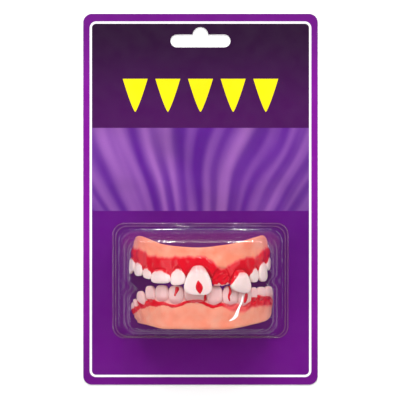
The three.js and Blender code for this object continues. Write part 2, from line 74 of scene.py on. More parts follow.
# Arches
BITE_Y = -37.5
ARCH_SQUARENESS = 2.2
ARCH_HALF_WIDTH = {"upper": 30.2, "lower": 30.3}
ARCH_SHIFT_X = {"upper": 0.0, "lower": 1.2}
UPPER_DEPTH = 32.8
TOOTH_SETBACK = 3.23
TOOTH_LENGTH = {"upper": 7.5, "lower": 8.0}
GUM_HEIGHT = {"upper": 9.5, "lower": 11.0}
GUM_WALL = 1.8
GUM_BULGE = 0.6
GUM_SCALLOP = 2.2
FLOOR_THICKNESS = 1.6
CHANNEL_WIDTH = 6.4
LINGUAL_WALL = 1.5
SOCKET_WALL = 1.1
FIT_GAP = 0.3
TOOTH_PROUD = 1.3
TOOTH_BACK = 1.5
TOOTH_ROOT = 1.6
CURVE_SAMPLES = 1200

# Blister
BLISTER_WALL = 0.5
BLISTER_FACE = 37.07
BLISTER_CROWN = 0.7
BLISTER_SIDES = {"left": -34.6, "right": 34.6, "bottom": -59.66, "top": -15.2}
BLISTER_DRAFT = {"left": 3.0, "right": 3.0, "bottom": 2.2, "top": 2.1}
BLISTER_SHOULDER = 0.7
BLISTER_SHOULDER_DROP = 1.0
BLISTER_SHOULDER_AT = 0.46
BLISTER_EDGE_RADIUS = 2.4
BLISTER_ROUNDING = {"left": 0.6, "right": 0.6, "bottom": 0.6, "top": 0.64}
BLISTER_FOOT_RADIUS = 1.5
BLISTER_CORNER = 5.6
FLANGE_SIDE = 4.7
FLANGE_TOP = 4.6
FLANGE_BOTTOM = 2.3
FLANGE_CORNER = 5.0
PAINTED_GLOW_FROM_Y = (-25.0, -18.5)  # between these the painted glow in the dome's film comes to full strength
PAINTED_GLOW_LEAST = 0.18  # share of that painted glow over the rest of the dome
BEADS = {"blister_rim_bead": 0.25, "blister_rim_line": 1.45}


def table(columns, rows):
    names = columns.split()
    return [dict(zip(names, row)) for row in rows]


# Each arch's sections. The place runs from -1 at one end to 1 at the other. The margin is the
# gum's edge over the bite and the tip the teeth's ends, as shares of the tooth length. The gum is
# a share of the gum height, and the roll tips the section outwards, in degrees.
UPPER_SECTIONS = table("at margin tip gum roll", [
    [-1, 1.6, 0.67, 0.74, 5],
    [-0.86, 1.6, 0.68, 0.96, 5],
    [-0.7, 1.44, 0.7, 1.12, 3],
    [-0.57, 1.14, 0.52, 1.28, 1],
    [-0.46, 0.94, 0.32, 1.3, 0],
    [-0.36, 0.91, 0.1, 1.19, 0],
    [-0.2, 1.01, 0, 1.01, 0],
    [0, 1.08, 0, 0.91, 0],
    [0.2, 0.98, 0, 1.09, 0],
    [0.36, 0.91, 0.02, 1.27, 0],
    [0.48, 0.97, 0.1, 1.36, 0],
    [0.58, 1.15, 0.18, 1.3, 1],
    [0.76, 1.55, 0.53, 1.06, 2],
    [0.9, 1.63, 0.8, 0.82, 2],
    [1, 1.6, 0.8, 0.6, 2],
])
LOWER_SECTIONS = table("at margin tip gum roll", [
    [-1, 1.74, 1.22, 0.4, 16],
    [-0.8, 1.54, 0.88, 0.54, 14],
    [-0.66, 1.2, 0.34, 0.78, 8],
    [-0.52, 0.9, 0.04, 1.04, 3],
    [-0.39, 0.88, 0, 1.11, 0],
    [-0.25, 0.97, 0, 1.04, 0],
    [-0.1, 0.92, 0, 1.08, 0],
    [0.1, 1.06, 0, 0.98, 0],
    [0.25, 1.12, 0.01, 0.93, 0],
    [0.4, 1.13, 0.08, 0.84, 0],
    [0.51, 0.92, 0.13, 0.92, 0],
    [0.61, 0.83, 0.12, 0.94, -1],
    [0.78, 0.78, 0.12, 0.87, -3],
    [0.9, 0.78, 0.17, 0.69, -4],
    [1, 0.81, 0.25, 0.41, -4],
])

# The teeth. Width is a share of half the arch. The mid, left and right columns are how far the
# blood runs down a tooth from the gum's edge, in millimetres, at its middle and its two sides.
UPPER_TEETH = table("at width neck drop proud set skew cant tip waist mid left right", [
    [-0.935, 0.125, 0, 0.1, 0.9, 0.1, 0, 0, 3, 0.35, 0.4, 1.2, 1.4],
    [-0.8, 0.134, 0.12, -0.04, 0.9, 0.1, 0, 0, 2.8, 0.35, 0.5, 1.4, 2.0],
    [-0.655, 0.156, 0.02, 0.16, 0.9, 0.1, 0, 0, 2.8, 0.35, 0.4, 2.0, 1.6],
    [-0.515, 0.12, 0, 0.06, 0.9, 0, 0, 0.06, 3, 0.35, 0.4, 1.4, 1.8],
    [-0.356, 0.196, 0, -0.03, 1.1, 0.15, 0, 0, 3.6, 0.5, 0.3, 1.6, 2.2],
    [-0.196, 0.134, 0.03, -0.04, 0.9, 0, 0.02, -0.05, 3.4, 0.4, 0.2, 3.0, 2.4],
    [-0.018, 0.24, 0.16, 0.52, 1.3, 0.6, -0.02, 0.02, 3.4, 0.1, -2.6, -1.2, 0.6],
    [0.184, 0.164, -0.1, -0.03, 0.2, -0.15, 0, 0, 3.6, 0.7, 20, 20, 20],
    [0.352, 0.21, -0.05, 0.42, 1.3, 0.6, 0.0, 0.09, 2.7, 0.25, 0.9, 6.6, 1.6],
    [0.523, 0.108, 0, -0.03, 0.9, 0, 0, 0, 3, 0.35, 0.4, 2.8, 1.6],
    [0.662, 0.17, 0.08, 0.16, 1, 0.1, 0.02, 0, 2.8, 0.35, 0.3, 1.8, 1.8],
    [0.828, 0.158, 0, -0.12, 0.9, 0.1, 0, 0, 2.8, 0.35, 0.4, 2.6, 1.6],
    [0.95, 0.084, 0, 0, 0.8, 0, 0, 0, 3, 0.35, 0.4, 1.6, 1.0],
])
LOWER_TEETH = table("at width neck drop proud set skew cant tip waist", [
    [-0.95, 0.086, 0, 0, 0.9, 0.1, 0, 0, 3, 0.35],
    [-0.865, 0.082, 0, 0, 0.9, 0.1, 0, 0, 3, 0.35],
    [-0.782, 0.084, 0.05, 0.02, 0.9, 0, 0, 0, 3, 0.35],
    [-0.664, 0.15, 0, 0, 0.9, 0, 0, 0.04, 3, 0.35],
    [-0.526, 0.124, -0.05, 0, 0.9, 0, 0, 0, 3.4, 0.35],
    [-0.392, 0.14, 0, 0, 0.9, 0, 0, 0, 3.4, 0.35],
    [-0.248, 0.146, 0.05, 0, 1, 0, 0, 0, 3.4, 0.35],
    [-0.07, 0.206, 0, 0, 0.8, 0, 0, 0, 3.8, 0.35],
    [0.104, 0.142, 0.04, 0, 1, 0, 0, 0, 3.2, 0.35],
    [0.248, 0.144, 0.04, 0, 1, 0, 0, 0, 3.2, 0.35],
    [0.392, 0.142, 0.06, 0, 0.9, 0, 0, 0, 3.2, 0.35],
    [0.502, 0.076, -0.12, 0, 0.8, 0, 0, 0, 3.4, 0.35],
    [0.606, 0.13, 0, 0, 0.9, 0, 0, 0, 3.6, 0.35],
    [0.758, 0.172, 0, 0, 0.9, 0, 0, 0, 3.4, 0.35],
    [0.918, 0.146, 0, 0, 0.8, 0, 0, 0, 3.2, 0.35],
])
TOOTH_NAMES = {6: "upper_big_incisor", 7: "upper_broken_tooth", 8: "upper_fang"}

# How far up the upper gum the blood goes, in millimetres over the gum's edge.
UPPER_BLOOD = table("at top", [
    [-1, 3.4],
    [-0.875, 3.7],
    [-0.76, 3.6],
    [-0.66, 4.9],
    [-0.545, 5.7],
    [-0.488, 4.9],
    [-0.415, 5.4],
    [-0.312, 4.5],
    [-0.175, 4.4],
    [-0.047, 4.0],
    [0.038, 4.0],
    [0.097, 2.5],
    [0.15, 0.2],
    [0.203, -0.5],
    [0.255, 1.4],
    [0.323, 3.3],
    [0.405, 4.5],
    [0.463, 4.6],
    [0.545, 3.7],
    [0.65, 4.4],
    [0.755, 3.7],
    [0.88, 3.6],
    [1, 3.0],
])
# The band of blood on the lower gum, from its edge by the teeth to its far edge, in millimetres
# from the gum's edge. Strength is how red it is, soft how wide its far edge fades and raised how
# thick the paint is.
LOWER_BLOOD = table("at near far strength soft raised", [
    [-1, -2.2, -0.4, 0.9, 0.6, 0.3],
    [-0.73, -2.3, 0.1, 0.95, 0.6, 0.5],
    [-0.67, -1.8, 0.8, 0.95, 0.6, 0.7],
    [-0.605, -0.9, 1.6, 1, 0.5, 1],
    [-0.53, -1.0, 1.8, 1, 0.5, 1],
    [-0.49, -0.9, 2.3, 1, 0.6, 0.9],
    [-0.43, 0.3, 2.3, 0.9, 0.6, 0.6],
    [-0.367, 0.2, 1.5, 0.8, 0.4, 0.7],
    [-0.305, 0.7, 1.9, 0.85, 0.3, 1],
    [-0.23, 0.5, 1.6, 0.9, 0.3, 1],
    [-0.172, -0.5, 0.7, 0.95, 0.3, 1],
    [-0.12, -1.1, 0.1, 1, 0.3, 1],
    [-0.012, -1.2, 0, 1, 0.3, 1],
    [0.032, -0.5, 0.9, 1, 0.3, 1],
    [0.088, 0.1, 1.3, 1, 0.3, 1],
    [0.133, -0.4, 0.7, 1, 0.3, 1],
    [0.17, -1.2, 0.2, 0.8, 0.5, 0.7],
    [0.205, -1, 1.1, 0.55, 0.9, 0.3],
    [0.252, -0.5, 2.2, 0.5, 1.1, 0.2],
    [0.31, -1.2, 2.2, 0.45, 1.2, 0.1],
    [0.373, -0.1, 2.9, 0.45, 1.2, 0.1],
    [0.448, -1.9, 1.7, 0.75, 1.2, 0.1],
    [0.51, -2.0, 2.2, 0.85, 1.3, 0.1],
    [0.61, -1.5, 2.7, 0.85, 1.3, 0.1],
    [0.73, -0.8, 3.2, 0.8, 1.4, 0.1],
    [0.885, 0.2, 4, 0.6, 1.6, 0],
    [1, 0.5, 3, 0.5, 1.6, 0],
])

# Thick drops of blood on the teeth: points from top to bottom, each with its half width.
DRIPS = {
    "big_incisor_drop": [
        (-0.95, -34.9, 0.1),
        (-0.92, -35.9, 0.7),
        (-0.68, -37.3, 1.42),
        (-0.45, -38.6, 1.5),
        (-0.3, -39.9, 0.95),
        (-0.2, -41.0, 0.15),
    ],
    "left_lower_run": [
        (-10.0, -38.0, 0.95),
        (-10.25, -39.4, 0.85),
        (-10.8, -40.8, 0.5),
        (-11.25, -42.2, 0.5),
    ],
    "middle_lower_run": [(2.2, -41.2, 0.45), (2.0, -42.8, 0.6), (1.9, -44.7, 0.55)],
    "right_lower_run": [
        (12.2, -37.5, 0.5),
        (12.9, -39.3, 0.5),
        (12.9, -40.6, 0.65),
        (12.3, -42.3, 0.45),
        (12.75, -44.4, 0.42),
    ],
    "far_right_run": [(20.1, -41.0, 0.7), (19.75, -43.2, 0.75), (19.2, -45.3, 0.45)],
}


# Raised creases in the film, painted white as a highlight: points along each with its half width.
CREASES = {
    "film_crease_painted_highlight": [
        (18.32, -41.3, 0.34),
        (17.76, -44.2, 0.36),
        (16.8, -46.4, 0.4),
        (15.95, -48.5, 0.62),
        (15.3, -50.3, 0.74),
        (13.9, -51.7, 0.5),
        (12.28, -52.5, 0.36),
    ],
}


def linear(*levels):
    """A colour given as display levels from 0 to 255, as the linear light that Blender mixes."""
    shares = [level / 255 for level in levels]
    return [s / 12.92 if s <= 0.04045 else ((s + 0.055) / 1.055) ** 2.4 for s in shares]


def opaque(colour):
    return (*colour[:3], 1.0)


def display(*levels):
    return opaque(linear(*levels))


def colour_property(name, description, *levels):
    return FloatVectorProperty(
        name=name,
        description=description,
        subtype="COLOR",
        min=0,
        max=1,
        default=linear(*levels),
    )


def length_property(name, description, millimetres):
    return FloatProperty(
        name=name,
        description=description,
        subtype="DISTANCE",
        unit="LENGTH",
        min=0,
        default=millimetres * MM,
    )


def share_property(name, description, default):
    return FloatProperty(
        name=name, description=description, subtype="FACTOR", min=0, max=1, default=default
    )


class CardSettings(bpy.types.PropertyGroup):
    """Sizes and inks of the card"""

    line_inset: length_property("Line inset", "From the card's ends to the white line", 3.5)
    line_side: length_property("Line side inset", "From the card's sides to the white line", 2.95)
    line_width: length_property("Line width", "Width of the white line", 1.0)
    line_corner: length_property("Line corner", "Outer corner radius of the white line", 2.9)
    pennant: colour_property("Pennant ink", "Plain row of pennants over the drape", 243, 222, 8)
    border: colour_property("Border ink", "Ink outside the white line", 122, 12, 142)
    border_end: colour_property("Border end ink", "Ink outside the line at the ends", 101, 6, 121)
    top_field: colour_property("Top ink", "Ink at the card's top", 36, 2, 42)
    middle_field: colour_property("Middle ink", "Ink over the drape", 67, 8, 79)
    low_field: colour_property("Low ink", "Ink round the blister", 87, 7, 115)
    drape_dark: colour_property("Drape shade", "Shade of the printed satin", 84, 22, 130)
    drape_light: colour_property("Drape light", "Highlight of the printed satin", 160, 102, 180)


class DentureSettings(bpy.types.PropertyGroup):
    """Colours and relief of the soft arches"""

    gum: colour_property("Gum", "Soft vinyl of the gums", 251, 146, 112)
    gum_pale: colour_property("Pale gum", "Where the gum's vinyl is paler", 249, 170, 140)
    gum_pink: colour_property("Pink gum", "Round the lower teeth and at the ends", 240, 178, 172)
    tooth: colour_property("Tooth", "Soft vinyl of the teeth", 251, 228, 224)
    tooth_neck: colour_property("Tooth neck", "Tint of the teeth by the gum", 228, 160, 160)
    blood: colour_property("Blood", "Red gloss paint", 230, 3, 34)
    blood_thin: colour_property("Thin blood", "Red paint where it fades out", 240, 84, 92)
    relief: length_property("Blood relief", "How thick the red paint stands", 0.16)


class BlisterSettings(bpy.types.PropertyGroup):
    """Film and rim of the blister"""

    haze: share_property("Haze", "How milky the film looks straight on", 0.001)
    side_haze: share_property("Side haze", "How milky it looks edge on", 0.012)
    # Painted glow: reddish milk in the dome's film that stands in for light from the gums
    painted_gum_glow: share_property("Painted gum glow", "Light from the gums caught in the dome's film", 0.034)
    roughness: share_property("Roughness", "Roughness of the film's reflections", 0.05)
    bead_width: length_property("Bead width", "Width of each raised line of the rim", 0.46)
    bead_height: length_property("Bead height", "Height of each raised line of the rim", 0.18)
    bead_steps: IntProperty(
        name="Bead corner steps",
        description="Faces round each corner of the rim",
        min=4,
        max=48,
        default=20,
    )


class StageSettings(bpy.types.PropertyGroup):
    """Floor, light and camera"""

    floor: colour_property("Floor", "Pale studio floor", 250, 250, 250)
    ambient: FloatProperty(
        name="Ambient", description="Strength of the even light", min=0, default=0.05
    )
    key: FloatProperty(
        name="Key", description="Power of the soft lights together", unit="POWER", min=0, default=24.0
    )
    camera_height: length_property("Camera height", "Height over the floor", 1030)
    lens: FloatProperty(
        name="Lens", description="Focal length", subtype="DISTANCE_CAMERA", default=207.2
    )


def smooth_step(low, high, value):
    share = np.clip((value - low) / (high - low), 0, 1)
    return share * share * (3 - 2 * share)


def wobble(value, seed, period):
    """A smooth uneven line between about -1 and 1, the same each run."""
    total = np.zeros_like(np.asarray(value, float))
    for i, share in enumerate((0.5, 0.3, 0.2)):
        turn = (seed * 12.9898 + i * 78.233) % (2 * math.pi)
        total += share * np.sin(np.asarray(value) * 2 * math.pi * (1.7**i) / period + turn)
    return total


def reader(rows, column):
    """A cubic through a table's column, read at any place."""
    at = np.array([row["at"] for row in rows], float)
    values = np.array([row[column] for row in rows], float)
    slopes = np.empty_like(values)
    slopes[1:-1] = (values[2:] - values[:-2]) / (at[2:] - at[:-2])
    slopes[0] = (values[1] - values[0]) / (at[1] - at[0])
    slopes[-1] = (values[-1] - values[-2]) / (at[-1] - at[-2])

    def read(places):
        places = np.asarray(places, float)
        i = np.clip(np.searchsorted(at, places) - 1, 0, len(at) - 2)
        span = at[i + 1] - at[i]
        u = np.clip((places - at[i]) / span, 0, 1)
        return (
            values[i] * (2 * u**3 - 3 * u**2 + 1)
            + values[i + 1] * (3 * u**2 - 2 * u**3)
            + slopes[i] * span * (u**3 - 2 * u**2 + u)
            + slopes[i + 1] * span * (u**3 - u**2)
        )

    return read


class Arch:
    """One arch: its curve, its sections and its teeth."""

    def __init__(self, jaw, sections, teeth):
        self.jaw = jaw
        self.up = 1.0 if jaw == "upper" else -1.0
        self.teeth = teeth
        self.tooth_length = TOOTH_LENGTH[jaw]
        self.gum_height = GUM_HEIGHT[jaw]
        depth = UPPER_DEPTH if jaw == "upper" else UPPER_DEPTH - TOOTH_SETBACK
        angle = np.linspace(0, math.pi, CURVE_SAMPLES + 1)
        cos, sin = np.cos(angle), np.sin(angle)
        power = 2 / ARCH_SQUARENESS
        self.x = ARCH_SHIFT_X[jaw] - ARCH_HALF_WIDTH[jaw] * np.sign(cos) * np.abs(cos) ** power
        self.z = CARD_FACE + depth * np.abs(sin) ** power
        self.run = np.r_[0, np.cumsum(np.hypot(np.diff(self.x), np.diff(self.z)))]
        self.along_x = np.gradient(self.x, self.run)
        self.along_z = np.gradient(self.z, self.run)
        self.length = self.run[-1]
        self.columns = {c: reader(sections, c) for c in ("margin", "tip", "gum", "roll")}

    def sections(self, at):
        """The section frames at an array of places."""
        at = np.atleast_1d(np.asarray(at, float))
        run = (np.clip(at, -1, 1) + 1) / 2 * self.length
        x, z = np.interp(run, self.run, self.x), np.interp(run, self.run, self.z)
        dx = np.interp(run, self.run, self.along_x)
        dz = np.interp(run, self.run, self.along_z)
        size = np.hypot(dx, dz)
        dx, dz = dx / size, dz / size
        roll = np.radians(self.columns["roll"](at))[:, None]
        margin = self.columns["margin"](at) * self.tooth_length
        level = np.stack([-dz, 0 * dx, dx], 1)
        up = np.array([[0.0, self.up, 0.0]])
        return {
            "origin": np.stack([x, BITE_Y + self.up * margin, z], 1),
            "along": np.stack([dx, 0 * dx, dz], 1),
            "out": level * np.cos(roll) + up * np.sin(roll),
            "gumward": up * np.cos(roll) - level * np.sin(roll),
            "gum": self.columns["gum"](at) * self.gum_height,
            "tooth": margin - self.columns["tip"](at) * self.tooth_length,
            "between": self.between(at),
        }

    def between(self, at):
        """0 at the middle of a tooth and 1 between two teeth."""
        away = [np.abs(at - tooth["at"]) / (tooth["width"] / 2) for tooth in self.teeth]
        return np.minimum(np.min(away, axis=0), 1)


ARCHES = {
    "upper": Arch("upper", UPPER_SECTIONS, UPPER_TEETH),
    "lower": Arch("lower", LOWER_SECTIONS, LOWER_TEETH),
}


def place(sections, out, gumward, along=0.0):
    """Points at distances in each section's own directions."""
    return (
        sections["origin"]
        + sections["out"] * np.asarray(out)[..., None]
        + sections["gumward"] * np.asarray(gumward)[..., None]
        + sections["along"] * np.asarray(along)[..., None]
    )


def grid_faces(rows, columns, closed=True, flipped=False):
    """Quads over a grid of points, joined round its columns where it is closed."""
    last = columns if closed else columns - 1
    faces = []
    for i in range(rows - 1):
        for j in range(last):
            a, b = i * columns + j, i * columns + (j + 1) % columns
            quad = (a, b, b + columns, a + columns)
            faces.append(quad[::-1] if flipped else quad)
    return faces


def fan(centre, start, size, flipped=False):
    faces = [(centre, start + (j + 1) % size, start + j) for j in range(size)]
    return [face[::-1] for face in faces] if flipped else faces


def make_piece(name, points, faces, materials, face_materials=None, attributes=None, smooth=True):
    """A mesh piece from points in millimetres."""
    mesh = bpy.data.meshes.new(name)
    mesh.from_pydata((np.asarray(points) * MM).tolist(), [], faces)
    for material in materials:
        mesh.materials.append(material)
    if face_materials is not None:
        mesh.polygons.foreach_set("material_index", np.asarray(face_materials, np.int32))
    mesh.polygons.foreach_set("use_smooth", np.full(len(mesh.polygons), smooth))
    for label, values in (attributes or {}).items():
        attribute = mesh.attributes.new(label, "FLOAT", "POINT")
        attribute.data.foreach_set("value", np.asarray(values, np.float32).ravel())
    mesh.validate()
    mesh.update()
    piece = bpy.data.objects.new(name, mesh)
    bpy.context.scene.collection.objects.link(piece)
    return piece


def finish_piece(piece, slot, *nodes):
    """Hangs a piece on the body and hides the solids that it stands for. The slot is not used."""
    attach(piece, BODY)
    if nodes:
        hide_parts(*nodes)
    return piece


class Nodes:
    """Adds nodes to a tree, joined or given their values as they are made."""

    def __init__(self, tree):
        self.tree = tree

    def node(self, kind, inputs=None, **settings):
        made = self.tree.nodes.new(kind)
        for key, value in settings.items():
            setattr(made, key, value)
        for key, value in (inputs or {}).items():
            self.give(made.inputs[key], value)
        return made

    def give(self, entry, value):
        if isinstance(value, bpy.types.NodeSocket):
            self.tree.links.new(value, entry)
        else:
            entry.default_value = value


class Shading(Nodes):
    """A material's tree, with short names for the nodes that its colours are made of."""

    def __init__(self, name):
        self.material = bpy.data.materials.new(name)
        self.material.use_nodes = True
        super().__init__(self.material.node_tree)
        self.tree.nodes.clear()
        self.output = self.node("ShaderNodeOutputMaterial")
        self.coordinates = self.node("ShaderNodeTexCoord").outputs["Object"]

    def math(self, operation, a, b=0.0, clamp=False):
        made = self.node("ShaderNodeMath", {0: a, 1: b}, operation=operation, use_clamp=clamp)
        return made.outputs[0]

    def vector(self, operation, a, b=(0.0, 0.0, 0.0)):
        made = self.node("ShaderNodeVectorMath", {0: a, 1: b}, operation=operation)
        return made.outputs["Value" if operation == "LENGTH" else "Vector"]

    def mix(self, factor, a, b, blend="MIX"):
        inputs = {0: factor, 6: a, 7: b}
        made = self.node("ShaderNodeMix", inputs, data_type="RGBA", blend_type=blend)
        return made.outputs[2]

    def product(self, *factors):
        total = factors[0]
        for factor in factors[1:]:
            total = self.math("MULTIPLY", total, factor)
        return total

    def ramp(self, value, low, high, start=0.0, end=1.0):
        """Goes smoothly from start to end while the value goes from low to high."""
        made = self.node(
            "ShaderNodeMapRange",
            {0: value, 1: low, 2: high, 3: start, 4: end},
            interpolation_type="SMOOTHSTEP",
        )
        return made.outputs[0]

    def noise(self, period, detail=3.0, roughness=0.5, stretch=(1, 1, 1), offset=0.0):
        """Noise whose grain is about the given number of millimetres."""
        scale = [s / (period * MM) for s in stretch]
        spread = self.node(
            "ShaderNodeMapping",
            {"Vector": self.coordinates, "Scale": scale, "Location": (offset, offset, offset)},
        )
        made = self.node(
            "ShaderNodeTexNoise",
            {"Vector": spread.outputs[0], "Scale": 1.0, "Detail": detail, "Roughness": roughness},
        )
        return made.outputs["Fac"]

    def attribute(self, label):
        return self.node("ShaderNodeAttribute", attribute_name=label).outputs["Fac"]

    def grey(self, value):
        """The same number on all three channels."""
        return self.node("ShaderNodeCombineXYZ", {0: value, 1: value, 2: value}).outputs[0]

    def shaded(self, colour, shade):
        return self.mix(1.0, colour, self.grey(shade), "MULTIPLY")

    def bump(self, height, millimetres, strength=1.0, normal=None):
        inputs = {"Height": height, "Distance": millimetres * MM, "Strength": strength}
        if normal is not None:
            inputs["Normal"] = normal
        return self.node("ShaderNodeBump", inputs).outputs[0]

    def finish(self, surface):
        self.tree.links.new(surface, self.output.inputs["Surface"])
        return self.material


def subsurface(shader, weight, reach):
    """Soft vinyl lets light through, red furthest."""
    shader.inputs["Subsurface Weight"].default_value = weight
    shader.inputs["Subsurface Radius"].default_value = (1.0, 0.42, 0.3)
    shader.inputs["Subsurface Scale"].default_value = reach * MM


def blood_colour(shading, looks, bare, amount):
    """From the bare colour through thin paint to full red."""
    thin = shading.ramp(amount, 0.0, 0.5)
    full = shading.ramp(amount, 0.22, 0.85)
    veil = shading.mix(shading.math("MULTIPLY", thin, 0.8), bare, opaque(looks.blood_thin))
    deep = tuple(0.8 * level for level in looks.blood)
    red = shading.mix(shading.noise(2.2, 3), opaque(looks.blood), opaque(deep))
    return shading.mix(full, veil, red)


def frayed_blood(s, grain, depth):
    """The blood painted on a piece, with the edge of the paint broken up by noise."""
    breakup = s.product(s.math("SUBTRACT", grain, 0.5), depth)
    amount = s.attribute("blood")
    at_edge = s.product(s.product(amount, s.math("SUBTRACT", 1.0, amount)), 4.0)
    return s.math("ADD", amount, s.product(breakup, at_edge))


def gum_material(looks):
    """Orange pink vinyl, a little mottled, with glossy red paint where it is bloody."""
    s = Shading("gum vinyl")
    cloud = s.ramp(s.noise(7, 4, 0.6), 0.32, 0.72)
    warm = s.mix(cloud, opaque(looks.gum), opaque(looks.gum_pale))
    pink = s.math("MULTIPLY", s.attribute("pink"), 0.85)
    warm = s.mix(pink, warm, opaque(looks.gum_pink))
    speck = s.ramp(s.noise(0.9, 3, 0.7, offset=3), 0.66, 0.8)
    warm = s.mix(s.math("MULTIPLY", speck, 0.12), warm, display(222, 112, 88))
    amount = frayed_blood(s, s.noise(1.8, 4, 0.6, offset=7), 0.32)
    colour = blood_colour(s, looks, warm, amount)
    roughness = s.ramp(amount, 0.3, 0.8, 0.42, 0.09)
    bare = s.ramp(amount, 0.5, 0.2)
    skin = s.bump(s.math("MULTIPLY", s.noise(0.7, 3, 0.6), bare), 0.05, 0.5)
    lumps = s.bump(s.math("MULTIPLY", s.noise(1.5, 2), s.ramp(amount, 0.4, 0.9)), 0.22, 0.6, skin)
    shader = s.node(
        "ShaderNodeBsdfPrincipled",
        {"Base Color": colour, "Roughness": roughness, "Normal": lumps},
    )
    shader.inputs["Specular IOR Level"].default_value = 0.2
    subsurface(shader, 0.22, 1.8)
    return s.finish(shader.outputs[0])


def tooth_material(looks, name="tooth vinyl", specular=0.34, coat=0.2):
    """Pearly pinkish white vinyl with red at its neck."""
    s = Shading(name)
    cloud = s.ramp(s.noise(3.5, 4, 0.6, stretch=(1, 0.45, 1)), 0.3, 0.75)
    pearl = tuple(min(level * 1.06, 1) for level in looks.tooth)
    white = s.mix(cloud, opaque(looks.tooth), opaque(pearl))
    neck = s.attribute("neck")
    tinted = s.mix(s.math("MULTIPLY", neck, 0.75), white, opaque(looks.tooth_neck))
    speck = s.ramp(s.noise(0.6, 2, 0.6, offset=11), 0.72, 0.82)
    tinted = s.mix(s.math("MULTIPLY", speck, 0.25), tinted, opaque(looks.tooth_neck))
    amount = frayed_blood(s, s.noise(1.1, 4, 0.65, offset=5), 0.5)
    colour = blood_colour(s, looks, tinted, amount)
    roughness = s.ramp(amount, 0.3, 0.8, 0.3, 0.15)
    ridges = s.bump(s.noise(1.1, 2, 0.5, stretch=(1, 0.3, 1)), 0.06, 0.5)
    shader = s.node(
        "ShaderNodeBsdfPrincipled",
        {"Base Color": colour, "Roughness": roughness, "Normal": ridges},
    )
    shader.inputs["Specular IOR Level"].default_value = specular
    shader.inputs["Coat Weight"].default_value = coat
    shader.inputs["Coat Roughness"].default_value = 0.08
    subsurface(shader, 0.3, 1.5)
    return s.finish(shader.outputs[0])


def blood_material(looks):
    """Thick wet red gloss."""
    s = Shading("blood gloss")
    deep = tuple(0.75 * level for level in looks.blood)
    red = s.mix(s.ramp(s.noise(1.5, 3), 0.3, 0.75), opaque(looks.blood), opaque(deep))
    lumps = s.bump(s.noise(1.0, 2), 0.12, 0.6)
    shader = s.node(
        "ShaderNodeBsdfPrincipled",
        {"Base Color": red, "Roughness": s.ramp(s.noise(0.8), 0.2, 0.8, 0.1, 0.2), "Normal": lumps},
    )
    shader.inputs["Specular IOR Level"].default_value = 0.3
    shader.inputs["Coat Weight"].default_value = 0.25
    shader.inputs["Coat Roughness"].default_value = 0.05
    subsurface(shader, 0.1, 0.8)
    return s.finish(shader.outputs[0])


FILM_CLEAR = (0.968, 0.958, 0.962, 1)
# Milk of the film, tinted pink as a painted reflection of the gums
PINK_MILK_WITH_PAINTED_GUM_REFLECTION = (0.95, 0.5, 0.6, 1)
# Colour of the painted glow from the gums
PAINTED_GLOW_TINT = (0.95, 0.24, 0.4, 1)
# Colour of the creases' painted highlight
PAINTED_HIGHLIGHT_WHITE = (1.0, 1.0, 1.0, 1)
FILM_IOR = 1.46
FILM_SURFACES = 1.05  # both of its surfaces reflect
FILM_MIRROR_MOST = 0.06  # its walls are too uneven to mirror much where they are seen edge on


def film_material(looks, name="blister film", haze_and_painted_light_colour=PINK_MILK_WITH_PAINTED_GUM_REFLECTION, added_white=0.0):
    """Clear formed film: see-through, glossy, and a little milky where it is seen edge on, its milk
    holding painted light from the gums and, on the creases, a painted highlight.
    """
    s = Shading(name)
    waves = s.bump(s.noise(9, 2, 0.4), 0.5, 0.035)
    facing = s.node("ShaderNodeLayerWeight", {"Blend": 0.5, "Normal": waves}).outputs["Facing"]
    haze = s.math(
        "ADD", looks.haze, s.math("MULTIPLY", s.math("POWER", facing, 2.5), looks.side_haze)
    )
    # Added white: all of it on the creases, as a painted highlight, and a little on the bead
    if added_white:
        haze = s.math("ADD", haze, added_white)
    clouds = s.ramp(s.noise(14, 3), 0.2, 0.8, 0.75, 1.15)
    haze = s.math("MULTIPLY", haze, clouds, clamp=True)
    clear = s.node("ShaderNodeBsdfTransparent", {"Color": FILM_CLEAR})
    # Painted glow from the gums: more reddish milk where the attribute is high
    painted_gum_glow = s.attribute("painted_gum_glow")
    haze = s.math("ADD", haze, s.math("MULTIPLY", painted_gum_glow, looks.painted_gum_glow), clamp=True)
    tint = s.mix(painted_gum_glow, haze_and_painted_light_colour, PAINTED_GLOW_TINT)
    # The milk's colour is partly painted light: pink for the gums' reflection, reddish for their glow,
    # white for the creases' highlight.
    milky_and_painted_light = s.node("ShaderNodeBsdfDiffuse", {"Color": tint})
    body = s.node("ShaderNodeMixShader", {0: haze, 1: clear.outputs[0], 2: milky_and_painted_light.outputs[0]})
    gloss = s.node("ShaderNodeBsdfAnisotropic", {"Color": (1, 1, 1, 1), "Normal": waves})
    gloss.inputs["Roughness"].default_value = looks.roughness
    mirror = s.node("ShaderNodeFresnel", {"IOR": FILM_IOR, "Normal": waves}).outputs[0]
    front = s.math("SUBTRACT", 1.0, s.node("ShaderNodeNewGeometry").outputs["Backfacing"])
    mirror = s.math("MINIMUM", s.math("MULTIPLY", mirror, FILM_SURFACES), FILM_MIRROR_MOST)
    mirror = s.math("MULTIPLY", mirror, front)
    whole = s.node("ShaderNodeMixShader", {0: mirror, 1: body.outputs[0], 2: gloss.outputs[0]})
    return s.finish(whole.outputs[0])


